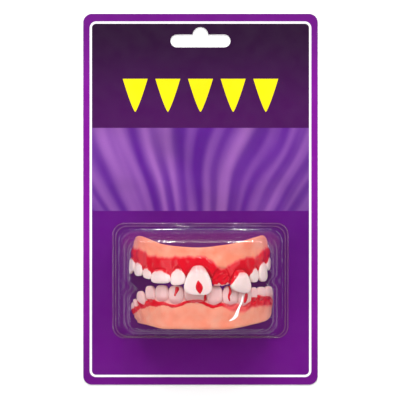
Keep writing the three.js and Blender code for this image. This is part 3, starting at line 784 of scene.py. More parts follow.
def rounded_distance(s, half_width, half_height, corner):
    """Distance in metres out from a rounded rectangle round the origin, from the coordinates."""
    split = s.node("ShaderNodeSeparateXYZ", {0: s.coordinates})
    flat = s.node("ShaderNodeCombineXYZ", {0: split.outputs[0], 1: split.outputs[1]})
    inner = ((half_width - corner) * MM, (half_height - corner) * MM, 0.0)
    away = s.vector("SUBTRACT", s.vector("ABSOLUTE", flat.outputs[0]), inner)
    flat_away = s.vector("MULTIPLY", away, (1.0, 1.0, 0.0))
    outside = s.vector("LENGTH", s.vector("MAXIMUM", flat_away, (0.0, 0.0, 0.0)))
    parts = s.node("ShaderNodeSeparateXYZ", {0: away})
    inside = s.math("MINIMUM", s.math("MAXIMUM", parts.outputs[0], parts.outputs[1]), 0.0)
    return s.math("SUBTRACT", s.math("ADD", outside, inside), corner * MM)


DRAPE_TOP = 31.9
DRAPE_BOTTOM = -5.2
FIELD_TOP = 79.0


def drape(s, looks, x, y):
    """Printed satin: hanging folds that fan out upwards, with soft lights along them."""
    height = (DRAPE_TOP - DRAPE_BOTTOM) * MM
    up = s.math("DIVIDE", s.math("SUBTRACT", y, DRAPE_BOTTOM * MM), height)
    fan_out = s.math("ADD", 0.72, s.math("MULTIPLY", up, 0.42))
    spread = s.math("DIVIDE", s.math("ADD", x, 6 * MM), fan_out)
    sway = s.math("MULTIPLY", s.math("SUBTRACT", s.noise(46, 1, 0.3, offset=2), 0.5), 0.014)
    across = s.math("ADD", spread, sway)
    folded = s.node("ShaderNodeCombineXYZ", {0: across, 1: s.math("MULTIPLY", y, 0.1), 2: 0.0})
    broad = s.node(
        "ShaderNodeTexNoise",
        {"Vector": folded.outputs[0], "Scale": 1 / (13 * MM), "Detail": 2.2, "Roughness": 0.5},
    ).outputs["Fac"]
    pleats = s.math("SINE", s.math("MULTIPLY", across, 2 * math.pi / (9.5 * MM)))
    fold = s.math("ADD", broad, s.math("MULTIPLY", pleats, 0.09))
    lit = s.ramp(fold, 0.3, 0.9)
    colour = s.mix(lit, opaque(looks.drape_dark), opaque(looks.drape_light))
    shade = s.ramp(s.noise(30, 2, offset=9), 0.25, 0.75, 0.78, 1.1)
    return s.shaded(colour, shade)


PENNANTS = {
    "top": 54.0,
    "height": 15.0,
    "half_width": 5.6,
    "pitch": 14.6,
    "reach": 36.0,
    "sharpness": 0.8,
}


def pennants(s, x, y, sizes):
    """A row of yellow points that hang down side by side: 1 on them and 0 off them."""
    soft = 0.08 * MM
    pitch = sizes["pitch"] * MM
    wrapped = s.node("ShaderNodeMath", {0: x, 1: pitch / 2, 2: -pitch / 2}, operation="WRAP")
    along = s.math("ABSOLUTE", wrapped.outputs[0])
    down = s.math("DIVIDE", s.math("SUBTRACT", sizes["top"] * MM, y), sizes["height"] * MM)
    narrowing = s.math("POWER", s.math("SUBTRACT", 1.0, down, clamp=True), sizes["sharpness"])
    room = s.math("SUBTRACT", s.math("MULTIPLY", narrowing, sizes["half_width"] * MM), along)
    inside = s.ramp(room, -soft, soft)
    on_row = s.math("MULTIPLY", s.ramp(down, 0.0, 0.02), s.ramp(down, 1.0, 0.98))
    near = s.ramp(s.math("ABSOLUTE", x), sizes["reach"] * MM + soft, sizes["reach"] * MM - soft)
    return s.math("MULTIPLY", inside, s.math("MULTIPLY", on_row, near))


def print_material(looks):
    """The card's printed face: violet inks, a white line, a band of printed satin and a varnish."""
    s = Shading("printed card")
    split = s.node("ShaderNodeSeparateXYZ", {0: s.coordinates})
    x, y = split.outputs[0], split.outputs[1]
    rise = s.ramp(y, DRAPE_TOP * MM, FIELD_TOP * MM)
    top = s.mix(rise, opaque(looks.middle_field), opaque(looks.top_field))
    dusk = s.ramp(y, -CARD_HEIGHT / 2 * MM, DRAPE_BOTTOM * MM)
    low = s.mix(dusk, display(98, 8, 120), opaque(looks.low_field))
    soft = 0.12 * MM
    under_top = s.ramp(y, DRAPE_TOP * MM + soft, DRAPE_TOP * MM - soft)
    field = s.mix(under_top, top, drape(s, looks, x, y))
    under_drape = s.ramp(y, DRAPE_BOTTOM * MM + soft, DRAPE_BOTTOM * MM - soft)
    field = s.mix(under_drape, field, low)
    half_width = CARD_WIDTH / 2 - looks.line_side / MM
    half_height = CARD_HEIGHT / 2 - looks.line_inset / MM
    away = rounded_distance(s, half_width, half_height, looks.line_corner / MM)
    blur = 0.09 * MM
    outside_line = s.ramp(away, -blur, blur)
    on_line = s.ramp(away, -looks.line_width - blur, -looks.line_width + blur)
    field = s.mix(pennants(s, x, y, PENNANTS), field, opaque(looks.pennant))
    colour = s.mix(on_line, field, display(246, 242, 247))
    endwards = s.ramp(s.math("ABSOLUTE", y), 0.6 * half_height * MM, half_height * MM)
    border = s.mix(endwards, opaque(looks.border), opaque(looks.border_end))
    colour = s.mix(outside_line, colour, border)
    ink = s.ramp(s.noise(0.5, 2), 0.0, 1.0, 0.965, 1.035)
    clouds = s.ramp(s.noise(38, 3, offset=4), 0.2, 0.8, 0.94, 1.06)
    colour = s.shaded(colour, s.product(ink, clouds))
    board = s.bump(s.noise(1.3, 4, 0.6), 0.02, 0.35)
    warp = s.bump(s.noise(45, 1), 0.6, 0.25, board)
    shader = s.node(
        "ShaderNodeBsdfPrincipled",
        {
            "Base Color": colour,
            "Roughness": s.ramp(s.noise(6, 3, offset=6), 0.2, 0.8, 0.36, 0.46),
            "Normal": warp,
        },
    )
    shader.inputs["Specular IOR Level"].default_value = 0.22
    shader.inputs["Coat Weight"].default_value = 0.04
    shader.inputs["Coat Roughness"].default_value = 0.22
    return s.finish(shader.outputs[0])


def board_material(name, colour, layered):
    """Bare board: grey white, fibrous, and in thin layers where it is cut."""
    s = Shading(name)
    stretch = (1, 1, 14) if layered else (1, 1, 1)
    fibre = s.ramp(s.noise(0.7, 4, 0.65, stretch), 0.25, 0.8)
    shade = s.mix(fibre, display(*colour), display(*[0.9 * level for level in colour]))
    shader = s.node(
        "ShaderNodeBsdfPrincipled",
        {
            "Base Color": shade,
            "Roughness": s.ramp(fibre, 0.0, 1.0, 0.72, 0.88),
            "Normal": s.bump(fibre, 0.03, 0.5),
        },
    )
    return s.finish(shader.outputs[0])


def arc(x, y, radius, start, end, steps):
    angles = np.linspace(start, end, steps + 1)
    return [(x + radius * math.cos(a), y + radius * math.sin(a)) for a in angles]


def rounded_outline(half_width, half_height, corner, steps):
    """A rounded rectangle's points, anticlockwise."""
    quarter = math.pi / 2
    centres = [(1, -1), (1, 1), (-1, 1), (-1, -1)]
    points = []
    for i, (side, end) in enumerate(centres):
        x, y = side * (half_width - corner), end * (half_height - corner)
        points += arc(x, y, corner, quarter * (i - 1), quarter * i, steps)
    return points


def slot_outline(grown, steps):
    """The hanging slot: a long round-ended hole with a round notch for the peg over it."""
    middle_y = CARD_HEIGHT / 2 - SLOT_FROM_TOP
    half = SLOT_HEIGHT / 2 + grown
    peg = SLOT_PEG_RADIUS + grown
    end_x = SLOT_WIDTH / 2 - SLOT_HEIGHT / 2
    reach = math.sqrt(peg**2 - (SLOT_PEG_RISE - half) ** 2)
    turn = math.atan2(half - SLOT_PEG_RISE, reach)
    quarter = math.pi / 2
    points = arc(end_x, middle_y, half, -quarter, quarter, steps)
    points += arc(0, middle_y + SLOT_PEG_RISE, peg, turn, math.pi - turn, steps)
    points += arc(-end_x, middle_y, half, quarter, 3 * quarter, steps)
    return points


def card_levels():
    """The broken edge of the board, from the back to the front: how far in and how high."""
    broken = CARD_EDGE_BREAK
    return [
        (broken, 0.0),
        (0.3 * broken, 0.3 * broken),
        (0.0, broken),
        (0.0, CARD_THICKNESS - broken),
        (0.3 * broken, CARD_THICKNESS - 0.3 * broken),
        (broken, CARD_THICKNESS),
    ]


def make_card(looks):
    """The board with its rounded corners and hanging slot, printed on its front."""
    materials = [
        print_material(looks),
        board_material("cut board edge", (226, 220, 224), True),
        board_material("board back", (232, 228, 224), False),
    ]
    corner_steps, slot_steps = 24, 28
    points, faces, kinds = [], [], []

    def wall(outline_at, flipped):
        start = len(points)
        levels = card_levels()
        for inward, z in levels:
            points.extend((x, y, z) for x, y in outline_at(inward))
        size = (len(points) - start) // len(levels)
        quads = grid_faces(len(levels), size, flipped=flipped)
        faces.extend(tuple(start + i for i in quad) for quad in quads)
        kinds.extend([1] * len(quads))
        return start, size

    def outer(inward):
        half_width, half_height = CARD_WIDTH / 2 - inward, CARD_HEIGHT / 2 - inward
        return rounded_outline(half_width, half_height, CARD_CORNER - inward, corner_steps)

    def hole(inward):
        return slot_outline(inward, slot_steps)

    rims = [wall(outer, False), wall(hole, True)]
    for level, kind in ((0, 2), (len(card_levels()) - 1, 0)):
        loops = [[start + level * size + j for j in range(size)] for start, size in rims]
        flat = [[Vector((*points[i][:2], 0)) for i in loop] for loop in loops]
        order = [i for loop in loops for i in loop]
        for a, b, c in tessellate_polygon(flat):
            tri = (order[a], order[b], order[c])
            (ax, ay), (bx, by), (cx, cy) = (points[i][:2] for i in tri)
            upward = (bx - ax) * (cy - ay) - (by - ay) * (cx - ax) > 0
            faces.append(tri if upward == (kind == 0) else tri[::-1])
            kinds.append(kind)
    piece = make_piece("printed_card", points, faces, materials, kinds, smooth=False)
    return finish_piece(piece, "card", "card")


def blister_sides(z, inset):
    """The dome's four sides at a height, drafted from its foot to its face."""
    foot = CARD_FACE + BLISTER_WALL
    up = min(max((z - foot) / (BLISTER_FACE - foot), 0), 1)
    inward = {"left": 1, "right": -1, "bottom": 1, "top": -1}
    rounded = min(max(inset, 0), BLISTER_EDGE_RADIUS)
    insets = {side: inset - (1 - BLISTER_ROUNDING[side]) * rounded for side in inward}
    if inset < 0:
        insets["top"] = 0
    return {
        side: BLISTER_SIDES[side] + sign * (BLISTER_DRAFT[side] * up + insets[side])
        for side, sign in inward.items()
    }


BLISTER_NOTCHES = {
    "right": {"offset": 1.3, "half_height": 2.8, "depth": 2.0},
    "left": {"offset": -1.0, "half_height": 3.9, "depth": 3.1},
}
RING_CORNER_STEPS = 14
RING_NOTCH_STEPS = 26
RING_SIDE_STEPS = 18


def blister_ring(sides, z, corner, pinch):
    """One level of the blister: round corners, and long sides pinched in between the arches."""
    left, right, bottom, top = (sides[key] for key in ("left", "right", "bottom", "top"))
    ring = []

    def side(x, label, inward, upwards):
        notch = BLISTER_NOTCHES[label]
        low = max(BITE_Y + notch["offset"] - notch["half_height"], bottom + 1.05 * corner)
        high = min(BITE_Y + notch["offset"] + notch["half_height"], top - 1.05 * corner)
        u = np.linspace(-1, 1, RING_NOTCH_STEPS + 1)
        deep = notch["depth"] * pinch * (0.5 + 0.5 * np.cos(math.pi * u))
        y = (low + high) / 2 + (high - low) / 2 * (u if upwards else -u)
        ring.extend(zip(x + inward * deep, y))

    def turn(x, y, quarter):
        start = quarter * math.pi / 2
        ring.extend(arc(x, y, corner, start, start + math.pi / 2, RING_CORNER_STEPS))

    def run(y, start, end):
        inner = np.linspace(start, end, RING_SIDE_STEPS + 2)[1:-1]
        ring.extend((x, y) for x in inner)

    side(right, "right", -1, True)
    turn(right - corner, top - corner, 0)
    run(top, right - corner, left + corner)
    turn(left + corner, top - corner, 1)
    side(left, "left", 1, False)
    turn(left + corner, bottom + corner, 2)
    run(bottom, left + corner, right - corner)
    turn(right - corner, bottom + corner, 3)
    return [(x, y, z) for x, y in ring]


CROWN_FALL = 0.154  # how fast the crown's rise nears its full height, per millimetre inwards
CORNER_SHRINK = 0.25  # how much a corner's radius falls, per millimetre inwards


def blister_skin(wall):
    """The dome's rings from the middle of its face down to its foot."""
    high = BLISTER_FACE - wall
    foot = CARD_FACE + BLISTER_WALL
    shoulder = foot + (BLISTER_FACE - foot) * BLISTER_SHOULDER_AT
    rounding = BLISTER_EDGE_RADIUS
    rings = []

    def ring(inset, z, corner, pinch):
        sides = blister_sides(z, inset + wall)
        rings.append(blister_ring(sides, z, max(corner - wall, 0.6), pinch))

    for depth in (13.0, 11.5, 10.0, 8.4, 6.8, 5.2, 3.8, 2.6, 1.6, 0.8, 0.3):
        rise = BLISTER_CROWN * (1 - math.exp(-CROWN_FALL * depth))
        pinch = 1 - smooth_step(0, 6, depth)
        ring(rounding + depth, high + rise, BLISTER_CORNER - CORNER_SHRINK * (rounding + depth), pinch)
    for angle in np.linspace(0, math.pi / 2, 10):
        inset = rounding * (1 - math.sin(angle))
        z = high - rounding * (1 - math.cos(angle))
        ring(inset, z, BLISTER_CORNER - CORNER_SHRINK * inset, 1)
    step_top = shoulder + BLISTER_SHOULDER_DROP - wall
    step_foot = shoulder - wall
    for z in np.linspace(high - rounding, step_top + 0.6, 8)[1:]:
        ring(0, z, BLISTER_CORNER, 1)
    for share in np.linspace(0.1, 0.9, 7):
        outward = BLISTER_SHOULDER * smooth_step(0, 1, share)
        z = step_top + 0.4 + (step_foot - 0.4 - step_top) * share
        ring(-outward, z, BLISTER_CORNER, 1 - 0.1 * share)
    foot_top = foot + BLISTER_FOOT_RADIUS
    for share in np.linspace(0, 1, 9)[1:]:
        z = step_foot - 0.2 + (foot_top - step_foot + 0.2) * share
        ring(-BLISTER_SHOULDER, z, BLISTER_CORNER, 0.9 - 0.4 * share)
    return rings


def flange_ring(outward, z, thin=0.0):
    share = outward / FLANGE_SIDE
    corner = BLISTER_CORNER + (FLANGE_CORNER - BLISTER_CORNER) * share
    sides = {
        "left": BLISTER_SIDES["left"] - outward + thin,
        "right": BLISTER_SIDES["right"] + outward - thin,
        "bottom": BLISTER_SIDES["bottom"] - FLANGE_BOTTOM * share + thin,
        "top": BLISTER_SIDES["top"] + FLANGE_TOP * share - thin,
    }
    return blister_ring(sides, z, corner, 0)


TOP_BEVEL = 0.12  # of the flange's edge
UNDER_BEVEL = 0.1


def make_blister(looks):
    """The clear shell: its dome, its pinched sides, its shoulder and its flange."""
    foot = CARD_FACE + BLISTER_WALL
    outer = blister_skin(0)
    inner = blister_skin(BLISTER_WALL)
    rings = list(outer)
    for angle in np.linspace(0, math.pi / 2, 7)[1:]:
        curl = 0.4 + (BLISTER_FOOT_RADIUS - 0.4) * (1 - math.cos(angle))
        height = BLISTER_FOOT_RADIUS * (1 - math.sin(angle))
        rings.append(flange_ring(BLISTER_SHOULDER + curl, foot + height))
    for share in (0.5, 0.7, 0.95, 0.97):
        rings.append(flange_ring(FLANGE_SIDE * share, foot))
    rings.append(flange_ring(FLANGE_SIDE, foot, TOP_BEVEL))
    rings.append(flange_ring(FLANGE_SIDE, foot - TOP_BEVEL))
    rings.append(flange_ring(FLANGE_SIDE, CARD_FACE + UNDER_BEVEL))
    rings.append(flange_ring(FLANGE_SIDE, CARD_FACE, UNDER_BEVEL))
    rings.append(flange_ring(BLISTER_FOOT_RADIUS, CARD_FACE))
    rings += inner[::-1]
    size = len(rings[0])
    points = [p for ring in rings for p in ring]
    flange_rings = len(rings) - len(outer) - len(inner)
    dome = [1.0] * len(outer) + [0.0] * flange_rings + [1.0] * len(inner)
    # How strong the painted glow is: full towards the dome's top, less elsewhere, none on the flange
    upper_end = smooth_step(*PAINTED_GLOW_FROM_Y, np.array([p[1] for p in points]))
    painted_gum_glow = np.repeat(dome, size) * (PAINTED_GLOW_LEAST + (1 - PAINTED_GLOW_LEAST) * upper_end)
    faces = grid_faces(len(rings), size, flipped=True)
    for ring, start, flipped in ((rings[0], 0, True), (rings[-1], len(points) - size, False)):
        centre = np.mean(ring, axis=0) + (0, 0, 0.05)
        points.append(tuple(centre))
        faces += fan(len(points) - 1, start, size, flipped)
    painted_gum_glow = {"painted_gum_glow": np.r_[painted_gum_glow, PAINTED_GLOW_LEAST, PAINTED_GLOW_LEAST]}
    piece = make_piece("clear_blister", points, faces, [film_material(looks)], attributes=painted_gum_glow)
    return finish_piece(piece, "blister", "blister")


def smoothed(outline, rounds):
    """Cuts the corners of closed outlines, which doubles their points each round."""
    for _ in range(rounds):
        following = np.roll(outline, -1, axis=1)
        first = 0.75 * outline + 0.25 * following
        second = 0.25 * outline + 0.75 * following
        outline = np.stack([first, second], 2).reshape(len(outline), -1, outline.shape[2])
    return outline


def gum_outlines(sections, lower_by):
    """The gum's cross-sections, as out and gumward distances, from the lip side round."""
    gum, tooth, between = (sections[key] for key in ("gum", "tooth", "between"))
    zero = 0 * gum
    edge = GUM_SCALLOP * (0.3 - between**2) - lower_by
    back = TOOTH_BACK + FIT_GAP + SOCKET_WALL
    far = back + CHANNEL_WIDTH
    floor = -0.74 * tooth
    rim = 0.3 * GUM_WALL
    tongue = 0.4 * gum
    corners = [
        (zero - 0.5 * GUM_WALL, gum),
        (zero - 0.1 * GUM_WALL, gum - rim),
        (zero + 0.02, 0.85 * gum),
        (zero + 0.05, 0.6 * gum),
        (zero + 0.7 * GUM_BULGE, 0.38 * gum + 0.5 * edge),
        (zero + GUM_BULGE, 0.2 * gum + edge),
        (zero + 1.1 * GUM_BULGE, 0.07 * gum + edge),
        (zero + 0.85 * GUM_BULGE, edge - 0.1),
        (zero + 0.1, edge - 0.4),
        (zero - 0.2 * GUM_WALL, np.minimum(0.5 * floor, edge - 1.2)),
        (zero - TOOTH_BACK, 0.85 * floor),
        (zero - TOOTH_BACK - FIT_GAP, floor),
        (zero - far, floor),
        (zero - far - LINGUAL_WALL, floor + FLOOR_THICKNESS),
        (zero - far - LINGUAL_WALL, tongue - rim),
        (zero - far - 0.5 * LINGUAL_WALL, tongue),
        (zero - far, tongue - rim),
        (zero - far + 0.5, floor + FLOOR_THICKNESS),
        (zero - back, floor + FLOOR_THICKNESS),
        (zero - back, zero),
        (zero - GUM_WALL, 0.45 * gum),
        (zero - 0.9 * GUM_WALL, gum - rim),
    ]
    return smoothed(np.array([np.stack(corner, 1) for corner in corners]).transpose(1, 0, 2), 3)


def upper_blood(at, gumward):
    """How bloody the upper gum is, from its bare top down to the teeth."""
    top = reader(UPPER_BLOOD, "top")(at) + 0.35 * wobble(at, 3, 0.11)
    return smooth_step(-1.9, 1.3, top - gumward)


def lower_blood(at, gumward):
    """The band of blood along the lower gum's edge."""
    columns = {c: reader(LOWER_BLOOD, c)(at) for c in ("near", "far", "strength", "soft")}
    near = smooth_step(-0.45, 0.35, gumward - columns["near"])
    soft = np.maximum(columns["soft"], 0.2)
    far = smooth_step(-soft, soft, columns["far"] + 0.2 * wobble(at, 5, 0.09) - gumward)
    return near * far * np.clip(columns["strength"], 0, 1)


def lower_pink(at, gumward):
    """How pink the lower gum is between its teeth and the band of blood."""
    near = reader(LOWER_BLOOD, "near")(at)
    inside = smooth_step(-0.75, -0.6, at) * smooth_step(0.5, 0.4, at)
    return inside * smooth_step(0.9, 0.1, gumward - near)


GUM_STATIONS = 380

# Where the upper gum runs further down between two teeth, and how much further, in millimetres.
UPPER_POINTS = table("at depth", [
    [-0.575, 0.6],
    [-0.455, 0.7],
    [-0.262, 2.5],
    [-0.137, 1.6],
    [0.1, 1.6],
    [0.265, 2.6],
    [0.47, 0.8],
    [0.578, 0.8],
    [0.745, 0.9],
])
POINT_WIDTH = 0.026


def gum_points(jaw, at):
    """How much lower than its usual scallops the gum's edge reaches, in millimetres."""
    if jaw == "lower":
        return 0 * at
    lower = 0 * at
    for row in UPPER_POINTS:
        lower = lower + row["depth"] * np.exp(-(((at - row["at"]) / POINT_WIDTH) ** 2))
    return lower


def make_gum(jaw, looks, material):
    """One soft arch: its lip side with the roots' swellings, its biting floor and its inner wall."""
    arch = ARCHES[jaw]
    at = np.linspace(-1, 1, GUM_STATIONS)
    sections = arch.sections(at)
    outlines = gum_outlines(sections, gum_points(jaw, at))
    out, gumward = outlines[..., 0], outlines[..., 1]
    place_at = np.broadcast_to(at[:, None], out.shape)
    gum = sections["gum"][:, None]
    lip = smooth_step(-1.3, -0.4, out) * smooth_step(1.0, 0.9, gumward / gum)
    height = np.clip(gumward / gum, 0, 1)
    mound = np.cos(np.clip(sections["between"], 0, 1) * math.pi / 2)[:, None] ** 2
    swell = 0.3 * (mound - 0.4) * np.sin(math.pi * np.clip(height * 1.25 + 0.12, 0, 1))
    uneven = 0.1 * wobble(place_at * 9 + height * 2.2, 8, 3.1)
    blood = lip * (upper_blood if jaw == "upper" else lower_blood)(place_at, gumward)
    thick = blood
    if jaw == "lower":
        thick = blood * np.clip(reader(LOWER_BLOOD, "raised")(place_at), 0, 1)
    relief = looks.relief / MM * smooth_step(0.35, 0.9, thick)
    ends = 0.45 * smooth_step(0.5, 0.95, np.abs(place_at))
    pink = np.maximum(ends, lower_pink(place_at, gumward) if jaw == "lower" else 0)
    pink = pink + (0.12 if jaw == "lower" else 0)
    out = out + lip * (swell + uneven) + relief
    wide = {key: value[:, None] for key, value in sections.items() if value.ndim == 1}
    wide.update({key: value[:, None, :] for key, value in sections.items() if value.ndim == 2})
    points = place(wide, out, gumward).reshape(-1, 3)
    size = out.shape[1]
    flipped = jaw == "lower"
    faces = grid_faces(GUM_STATIONS, size, flipped=flipped)
    for row, turned in ((0, flipped), (GUM_STATIONS - 1, not flipped)):
        flat = [Vector((outlines[row, j, 0], outlines[row, j, 1], 0)) for j in range(size)]
        for tri in tessellate_polygon([flat]):
            a, b, c = (flat[i] for i in tri)
            if (b - a).cross(c - a).z > 0:
                tri = tri[::-1]
            corners = tuple(row * size + i for i in tri)
            faces.append(corners[::-1] if turned else corners)
    paint = {"blood": blood.ravel(), "pink": pink.ravel()}
    piece = make_piece(f"{jaw}_gum_vinyl", points, faces, [material], attributes=paint)
    return finish_piece(piece, "gum", f"{jaw}_gum")


TOOTH_SIDES = 44
TOOTH_OVERLAP = 0.1  # neighbouring teeth are moulded together
TOOTH_BELLY = {"upper": 0.82, "lower": 0.55}  # share of its length at which a tooth is widest
TIP_START = {"upper": 0.68, "lower": 0.45}  # share of its length at which its end starts to close
TOOTH_ROOT_RINGS = 16
LONG_TOOTH_SET = 0.5  # the two long teeth stand further out than this, in grooved collars
TOOTH_TIP_RINGS = 22


def tooth_shares(power, start):
    """Shares of a tooth's length, evenly round the curve of its tip, and the tip's closing in."""
    root = np.linspace(0, start, TOOTH_ROOT_RINGS, endpoint=False)
    angle = np.linspace(0, math.pi / 2, TOOTH_TIP_RINGS + 1)[:-1]
    tip = start + (1 - start) * np.sin(angle) ** (2 / power)
    closing = np.cos(angle) ** (2 / power)
    return np.r_[root, tip], np.r_[np.ones(TOOTH_ROOT_RINGS), closing]


def ragged(side):
    """The broken edge of a tooth, as a share of the tooth's length."""
    return 0.055 * np.sin(5.2 * side + 0.6) + 0.035 * np.sin(11.3 * side + 2.0)


GROOVE_AT = 0.42  # of half the tooth's width, on both sides of its middle
GROOVE_WIDTH = 0.16
GROOVE_DEPTH = 0.13
COLLAR_RIB = 0.13


def tooth_shape(arch, tooth, broken):
    """A tooth's points, ring by ring from its root, with where each point is on it."""
    half_width = tooth["width"] * arch.length / 4 + TOOTH_OVERLAP
    section = {key: value[0] for key, value in arch.sections(tooth["at"]).items()}
    root = tooth["neck"] * arch.tooth_length + TOOTH_ROOT
    length = root + section["tooth"] + tooth["drop"] * arch.tooth_length
    proud, set_out = TOOTH_PROUD * tooth["proud"], TOOTH_PROUD * tooth["set"]
    share, closing = (values[:, None] for values in tooth_shares(tooth["tip"], TIP_START[arch.jaw]))
    angle = (2 * math.pi * (np.arange(TOOTH_SIDES) + 0.5) / TOOTH_SIDES)[None, :]
    cos, sin = np.cos(angle), np.sin(angle)
    belly = TOOTH_BELLY[arch.jaw]
    widening = np.sin(math.pi / 2 * np.minimum(share / belly, 1))
    widening = tooth["waist"] + (1 - tooth["waist"]) * widening
    spread = half_width * widening * closing
    coming_out = np.sin(math.pi / 2 * np.minimum(share / 0.45, 1))
    hidden = -0.35 * GUM_WALL
    fall = 0.25 * (np.maximum(share - 0.6, 0) / 0.4) ** 2
    front = hidden + (proud - hidden) * coming_out - proud * fall + TOOTH_BACK
    back = TOOTH_BACK * 0.55 * share**2
    across = np.sign(cos) * np.abs(cos) ** 0.8
    side = spread * across
    middle_out = (front + back) / 2 - TOOTH_BACK
    half_depth = (front - back) / 2 * closing**0.4
    longer = tooth["cant"] * length * share**2 * side / half_width
    if broken:
        longer = longer + ragged(across) * length * share**2
    out = set_out * coming_out + middle_out + half_depth * np.sign(sin) * np.abs(sin) ** 0.7
    face = np.clip(sin, 0, 1)
    grooves = np.exp(-(((np.abs(across) - GROOVE_AT) / GROOVE_WIDTH) ** 2)) * smooth_step(0.3, 0.6, share)
    out = out - GROOVE_DEPTH * face * grooves * closing
    if tooth["set"] > LONG_TOOTH_SET:
        collar = smooth_step(0.55, 0.35, share) * coming_out
        out = out + COLLAR_RIB * face * collar * np.cos(7 * math.pi * across)
    if broken:
        lumps = wobble(across * 2.1 + share * 5.0, 4, 1.7) * 0.28
        out = out + face * lumps * closing
    lean = tooth["skew"] * half_width * 2 * share**2
    gumward = root - length * share - longer
    points = place(section, out, gumward, side + lean)
    tip = points[-1].mean(axis=0)
    return points, tip, {"across": across + 0 * share, "gumward": gumward, "share": share + 0 * across}


def tooth_blood(arch, tooth, places):
    """How bloody each point of a tooth is."""
    across, gumward = places["across"], places["gumward"]
    at = tooth["at"] + across * tooth["width"] / 2
    if arch.jaw == "lower":
        return lower_blood(at, gumward)
    sides = np.where(across < 0, tooth["left"], tooth["right"])
    reach = tooth["mid"] + (sides - tooth["mid"]) * np.abs(across) ** 2.4
    reach = reach + 0.25 * wobble(across, tooth["at"] * 40, 0.9)
    return smooth_step(-0.7, 0.7, gumward + reach)


def tooth_piece(arch, index, material):
    tooth = arch.teeth[index]
    node = f"{arch.jaw}_tooth_{index + 1:02d}"
    if arch.jaw == "upper":
        node = TOOTH_NAMES.get(index, node)
    broken = node == "upper_broken_tooth"
    points, tip, places = tooth_shape(arch, tooth, broken)
    rings, size = points.shape[:2]
    blood = tooth_blood(arch, tooth, places)
    neck = smooth_step(-3.2, 0.6, places["gumward"]) * 0.8
    if tooth["set"] > LONG_TOOTH_SET:
        neck = smooth_step(-3.6, 0.2, places["gumward"]) * 1.3
    if arch.jaw == "lower":
        neck = neck + 0.64
    if broken:
        torn = smooth_step(0.9, 0.97, places["share"])
        blood = blood * (1 - 0.85 * torn)
        neck = 0 * neck + 0.7
    flat = points.reshape(-1, 3).tolist()
    root = points[0].mean(axis=0)
    flat += [root.tolist(), tip.tolist()]
    flipped = arch.up < 0
    faces = grid_faces(rings, size, flipped=flipped)
    faces += fan(rings * size, 0, size, flipped)
    faces += fan(rings * size + 1, (rings - 1) * size, size, not flipped)
    ends = [0.0, float(blood[-1].mean())]
    neck_ends = [1.0, float(neck[-1].mean())]
    attributes = {"blood": np.r_[blood.ravel(), ends], "neck": np.r_[neck.ravel(), neck_ends]}
    piece = make_piece(f"{node}_vinyl", flat, faces, [material], attributes=attributes)
    return finish_piece(piece, "blood" if broken else "tooth", node)


def make_teeth(looks):
    material = tooth_material(looks)
    bloody = tooth_material(looks, "bloody tooth vinyl", 0.2, 0.0)
    pieces = []
    for jaw, arch in ARCHES.items():
        for index in range(len(arch.teeth)):
            broken = jaw == "upper" and TOOTH_NAMES.get(index) == "upper_broken_tooth"
            pieces.append(tooth_piece(arch, index, bloody if broken else material))
    return pieces


def surface_under(pieces):
    """One tree over several pieces' faces, to find their height at a place."""
    points, faces = [], []
    for piece in pieces:
        start = len(points)
        points += [v.co[:] for v in piece.data.vertices]
        faces += [tuple(start + i for i in p.vertices) for p in piece.data.polygons]
    tree = BVHTree.FromPolygons(points, faces)

    def height(x, y):
        hit = tree.ray_cast(Vector((x * MM, y * MM, 0.06)), Vector((0, 0, -1)))
        return None if hit[0] is None else hit[0].z / MM

    return height


DRIP_STEPS = 30
DRIP_ACROSS = 13
DRIP_SUNK = 0.12  # how far its underside lies in the surface
DRIP_NARROW = 0.4  # half width under which a run is also thinner
DRIP_LOST_LEVEL = 30.0  # where it would start if nothing were under its first point


def make_drip(name, path, thickness, height, material, slot="blood"):
    """A raised run that lies on whatever surface is under it."""
    path = np.array(path)
    knots = np.linspace(0, 1, len(path))
    t = np.linspace(0, 1, DRIP_STEPS)
    rows = [{"at": k, "x": p[0], "y": p[1], "half": p[2]} for k, p in zip(knots, path)]
    x, y, half = (reader(rows, column)(t) for column in ("x", "y", "half"))
    half = half * np.clip(np.sqrt(1 - np.abs(2 * t - 1) ** 6), 0.03, 1)
    dx, dy = np.gradient(x), np.gradient(y)
    size = np.hypot(dx, dy)
    across_x, across_y = -dy / size, dx / size
    u = np.linspace(-1, 1, DRIP_ACROSS)
    top, bottom = [], []
    for i in range(DRIP_STEPS):
        ends = math.sqrt(max(1 - abs(2 * t[i] - 1) ** 4, 0))
        z = DRIP_LOST_LEVEL
        for share in u:
            px = x[i] + across_x[i] * half[i] * share
            py = y[i] + across_y[i] * half[i] * share
            found = height(px, py)
            z = z if found is None else found
            full = thickness * ends * min(half[i] / DRIP_NARROW, 1)
            top.append((px, py, z + full * math.sqrt(max(1 - share**2, 0))))
            bottom.append((px, py, z - DRIP_SUNK))
    points = top + bottom
    count = DRIP_STEPS * DRIP_ACROSS
    faces = grid_faces(DRIP_STEPS, DRIP_ACROSS, closed=False)
    faces += [tuple(count + i for i in quad[::-1]) for quad in faces]
    edge = list(range(DRIP_ACROSS))
    edge += [i * DRIP_ACROSS + DRIP_ACROSS - 1 for i in range(1, DRIP_STEPS)]
    edge += [(DRIP_STEPS - 1) * DRIP_ACROSS + j for j in range(DRIP_ACROSS - 2, -1, -1)]
    edge += [i * DRIP_ACROSS for i in range(DRIP_STEPS - 2, 0, -1)]
    for a, b in zip(edge, edge[1:] + edge[:1]):
        faces.append((b, a, count + a, count + b))
    piece = make_piece(name, points, faces, [material])
    return finish_piece(piece, slot)


class FANGS_OT_card(bpy.types.Operator):
    """Make the printed card with its hanging slot"""

    bl_idname = "fangs.card"
    bl_label = "Card"

    def execute(self, context):
        make_card(context.scene.fangs_card)
        return {"FINISHED"}


